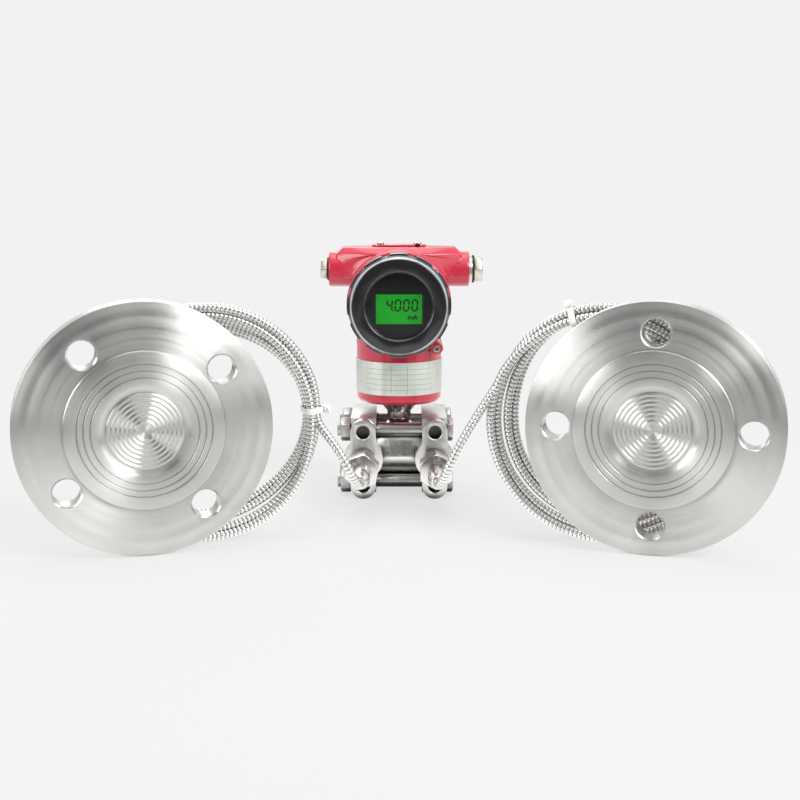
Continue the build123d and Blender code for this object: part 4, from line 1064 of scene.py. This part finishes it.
def readoutBars():
    size = readout
    width, height = size["digit"]
    bar, gap = size["bar"], size["gap"]
    middle = height / 2
    spans = {
        "a": ((0, height), (width, height)), "g": ((0, middle), (width, middle)), "d": ((0, 0), (width, 0)),
        "f": ((0, middle), (0, height)), "b": ((width, middle), (width, height)),
        "e": ((0, 0), (0, middle)), "c": ((width, 0), (width, middle)),
    }
    shapes = []
    across = size["left"]
    for sign in size["value"]:
        if sign == ".":
            dot = across - (size["pitch"] - width) / 2
            half, foot, top = size["dot"]
            shapes.append([(dot - half, foot), (dot + half, foot), (dot + half, top), (dot - half, top)])
            continue
        for name in barsOf[sign]:
            (ax, ay), (bx, by) = spans[name]
            length = sqrt((bx - ax) ** 2 + (by - ay) ** 2)
            dx, dy = (bx - ax) / length, (by - ay) / length
            ax, ay, bx, by = ax + dx * gap, ay + dy * gap, bx - dx * gap, by - dy * gap
            less, more = (dx - dy) * bar / 2, (dx + dy) * bar / 2
            outline = [
                (ax, ay), (ax + less, ay + more), (bx - more, by + less),
                (bx, by), (bx - less, by - more), (ax + more, ay - less),
            ]
            shapes.append([(across + x + y * size["slant"], y) for x, y in outline])
        across += size["pitch"]
    wide, high = size["mark"]
    for x, drop in size["marks"]:
        y = size["top"] + height - drop
        shapes.append([(x, y - high), (x + wide, y - high), (x + wide, y), (x, y)])
    return shapes


def panelSpot(x, y, lift):
    border = readout["border"]
    return Vector((panelLow.x + (x + border) * mm, panelLow.y - lift * mm, panelHigh.z - (border + y) * mm))


def buildReadout():
    size = readout
    work = bmesh.new()
    base = size["top"] + size["digit"][1]
    for outline in readoutBars():
        front = [work.verts.new(panelSpot(x, base - y, size["lift"])) for x, y in outline]
        back = [work.verts.new(panelSpot(x, base - y, size["back"])) for x, y in outline]
        work.faces.new(front)
        work.faces.new(back[::-1])
        for number in range(len(outline)):
            after = (number + 1) % len(outline)
            work.faces.new((front[number], front[after], back[after], back[number]))
    bmesh.ops.recalc_face_normals(work, faces=work.faces)
    piece = linkObject("readoutValue", meshOf(work, "readout"))
    piece.data.materials.append(readoutInk)
    place(piece, [], "head", "display_green")


def buildUnit():
    size = readout
    data = bpy.data.curves.new("unit", "FONT")
    data.body = "mA"
    data.size = size["unitHeight"] / size["capitals"] * mm
    data.extrude = size["unitThick"] * mm
    data.offset = size["unitBold"] * mm
    holder = linkObject("unitText", data)
    mesh = evaluatedMesh(holder)
    bpy.data.objects.remove(holder)
    spot = panelSpot(size["unitLeft"], size["unitTop"] + size["unitHeight"], size["lift"])
    mesh.transform(Matrix.Translation(spot) @ Matrix.Rotation(pi / 2, 4, "X"))
    mesh.materials.clear()
    mesh.materials.append(readoutInk)
    place(linkObject("readoutUnit", mesh), [], "head", "display_green")


buildReadout()
buildUnit()
print("readout made")


# CAD nodes that are shown as they are

for node, holder in frame["nodes"].items():
    if not holder.hide_render:
        holder.data.materials.clear()
        holder.data.materials.append(materials.get(slotOf[node], capsuleSteel))


# Stage, light and world

stageShape = {
    "radius": 6.0,
    "sides": 96,
    "pale": 0.888,  # the photograph's background
    "floor": 0.716,
    "near": 0.32,  # metres from the middle, where the floor starts to turn into the background
    "far": 0.75,
    "least": 0.72,  # share of the background's tone before that
}
# Painted reflection: how brightly the floor glows where the metal mirrors it, dark next to the cell and
# bright in a ring round it: distance from the cell's middle and its level
paintedFloorReflection = (
    (0.0, 0.04), (0.045, 0.06), (0.08, 1.3), (0.16, 1.5), (0.26, 1.15), (0.40, 1.15), (0.58, 0.85),
    (0.95, 0.3), (2.0, 0.1),
)


def floorMaterial():
    size = stageShape
    made, tree, shader = startMaterial("paleFloor")
    setInputs(tree, shader, {"Base Color": grey(size["floor"]), "Roughness": 0.9, "Specular IOR Level": 0.0})

    def glowing(level, tone=1.0):
        inputs = {"Color": grey(tone), "Strength": level}
        return addNode(tree, "ShaderNodeEmission", inputs).outputs["Emission"]

    place = objectPlace(tree)
    distance = vectorMath(tree, "LENGTH", place).outputs["Value"]
    fromCell = vectorMath(tree, "SUBTRACT", place, (0, axisY, 0)).outputs["Vector"]
    rays = addNode(tree, "ShaderNodeLightPath").outputs
    mirrored = valueMath(tree, "MAXIMUM", rays["Is Glossy Ray"], rays["Is Transmission Ray"])
    seen = valueMath(tree, "MAXIMUM", rays["Is Camera Ray"], mirrored)
    outwards = spread(tree, distance, size["least"], 1.0, size["near"], size["far"])
    share = valueMath(tree, "MULTIPLY", seen, outwards)
    plain = mixShaders(tree, share, shader.outputs["BSDF"], glowing(1.0, size["pale"]))
    # painted reflection: glossy rays see the floor glow by this ramp, dark next to the cell
    shine = rampOf(tree, vectorMath(tree, "LENGTH", fromCell).outputs["Value"], paintedFloorReflection)
    showInstead(tree, mixShaders(tree, rays["Is Glossy Ray"], plain, glowing(shine)))
    return made


def addFloor():
    work = bmesh.new()
    size = stageShape
    bmesh.ops.create_circle(work, cap_ends=True, segments=size["sides"], radius=size["radius"])
    floor = linkObject("floor", meshOf(work, "floor"))
    floor.data.materials.append(floorMaterial())


lightsAim = Vector((0, 0, 0.1))
softLights = {
    "key": {"place": (1.15, -1.05, 1.15), "size": (0.9, 0.7), "power": 21.0},
    "fill": {"place": (-1.35, -0.95, 0.55), "size": (0.6, 0.9), "power": 11.0},
    "top": {"place": (0.0, 0.15, 1.5), "size": (1.1, 0.9), "power": 8.0},
    "behind": {"place": (-0.4, 1.3, 0.9), "size": (1.0, 0.6), "power": 4.0},
}


def addLight(name, light):
    data = bpy.data.lights.new(name, "AREA")
    data.shape = "RECTANGLE"
    data.size, data.size_y = light["size"]
    data.energy = light["power"]
    lamp = bpy.data.objects.new(name, data)
    lamp.location = light["place"]
    aim = lightsAim - Vector(light["place"])
    lamp.rotation_euler = aim.to_track_quat("-Z", "Y").to_euler()
    scene.collection.objects.link(lamp)


# The studio as the metal mirrors it: level by height, darker behind the camera, three soft boxes
studio = {
    "ambient": (0.34, 0.62, -0.2, 0.9),  # two levels and the height of each, for light that isn't mirrored
    "rise": ((-0.1, 0.55), (0.08, 0.6), (0.3, 1.0), (0.6, 1.3), (0.95, 1.0)),
    "front": (0.17, 1.0, -0.75, 0.1),  # two levels and how far back each is
    "boxes": [
        {"towards": (0.80, -0.56, 0.22), "half": 17.0, "blur": 10.0, "level": 2.0},
        {"towards": (-0.86, -0.44, 0.30), "half": 12.0, "blur": 9.0, "level": 1.3},
        {"towards": (0.1, -0.62, 0.85), "half": 13.0, "blur": 8.0, "level": 1.5},
    ],
}


def addWorld():
    world = bpy.data.worlds.new("studio")
    scene.world = world
    world.use_nodes = True
    tree = world.node_tree
    tree.nodes.clear()

    def sky(level, tone=1.0):
        inputs = {"Color": grey(tone), "Strength": level}
        return addNode(tree, "ShaderNodeBackground", inputs).outputs["Background"]

    way = addNode(tree, "ShaderNodeTexCoord").outputs["Generated"]
    parts = addNode(tree, "ShaderNodeSeparateXYZ", {0: way}).outputs
    rays = addNode(tree, "ShaderNodeLightPath").outputs
    seen = valueMath(tree, "MAXIMUM", rays["Is Camera Ray"], rays["Is Transmission Ray"])
    ambient = sky(spread(tree, parts["Z"], *studio["ambient"]))
    plain = mixShaders(tree, seen, ambient, sky(1.0, stageShape["pale"]))
    front = spread(tree, parts["Y"], *studio["front"])
    level = valueMath(tree, "MULTIPLY", rampOf(tree, parts["Z"], studio["rise"]), front)
    for box in studio["boxes"]:
        towards = tuple(Vector(box["towards"]).normalized())
        facing = vectorMath(tree, "DOT_PRODUCT", way, towards).outputs["Value"]
        inner, outer = cos(radians(box["half"])), cos(radians(box["half"] + box["blur"]))
        level = valueMath(tree, "ADD", level, spread(tree, facing, 0.0, box["level"], outer, inner))
    shown = mixShaders(tree, rays["Is Glossy Ray"], plain, sky(level))
    addNode(tree, "ShaderNodeOutputWorld", {"Surface": shown})


addFloor()
for name, light in softLights.items():
    addLight(name, light)
addWorld()
print("stage lit")
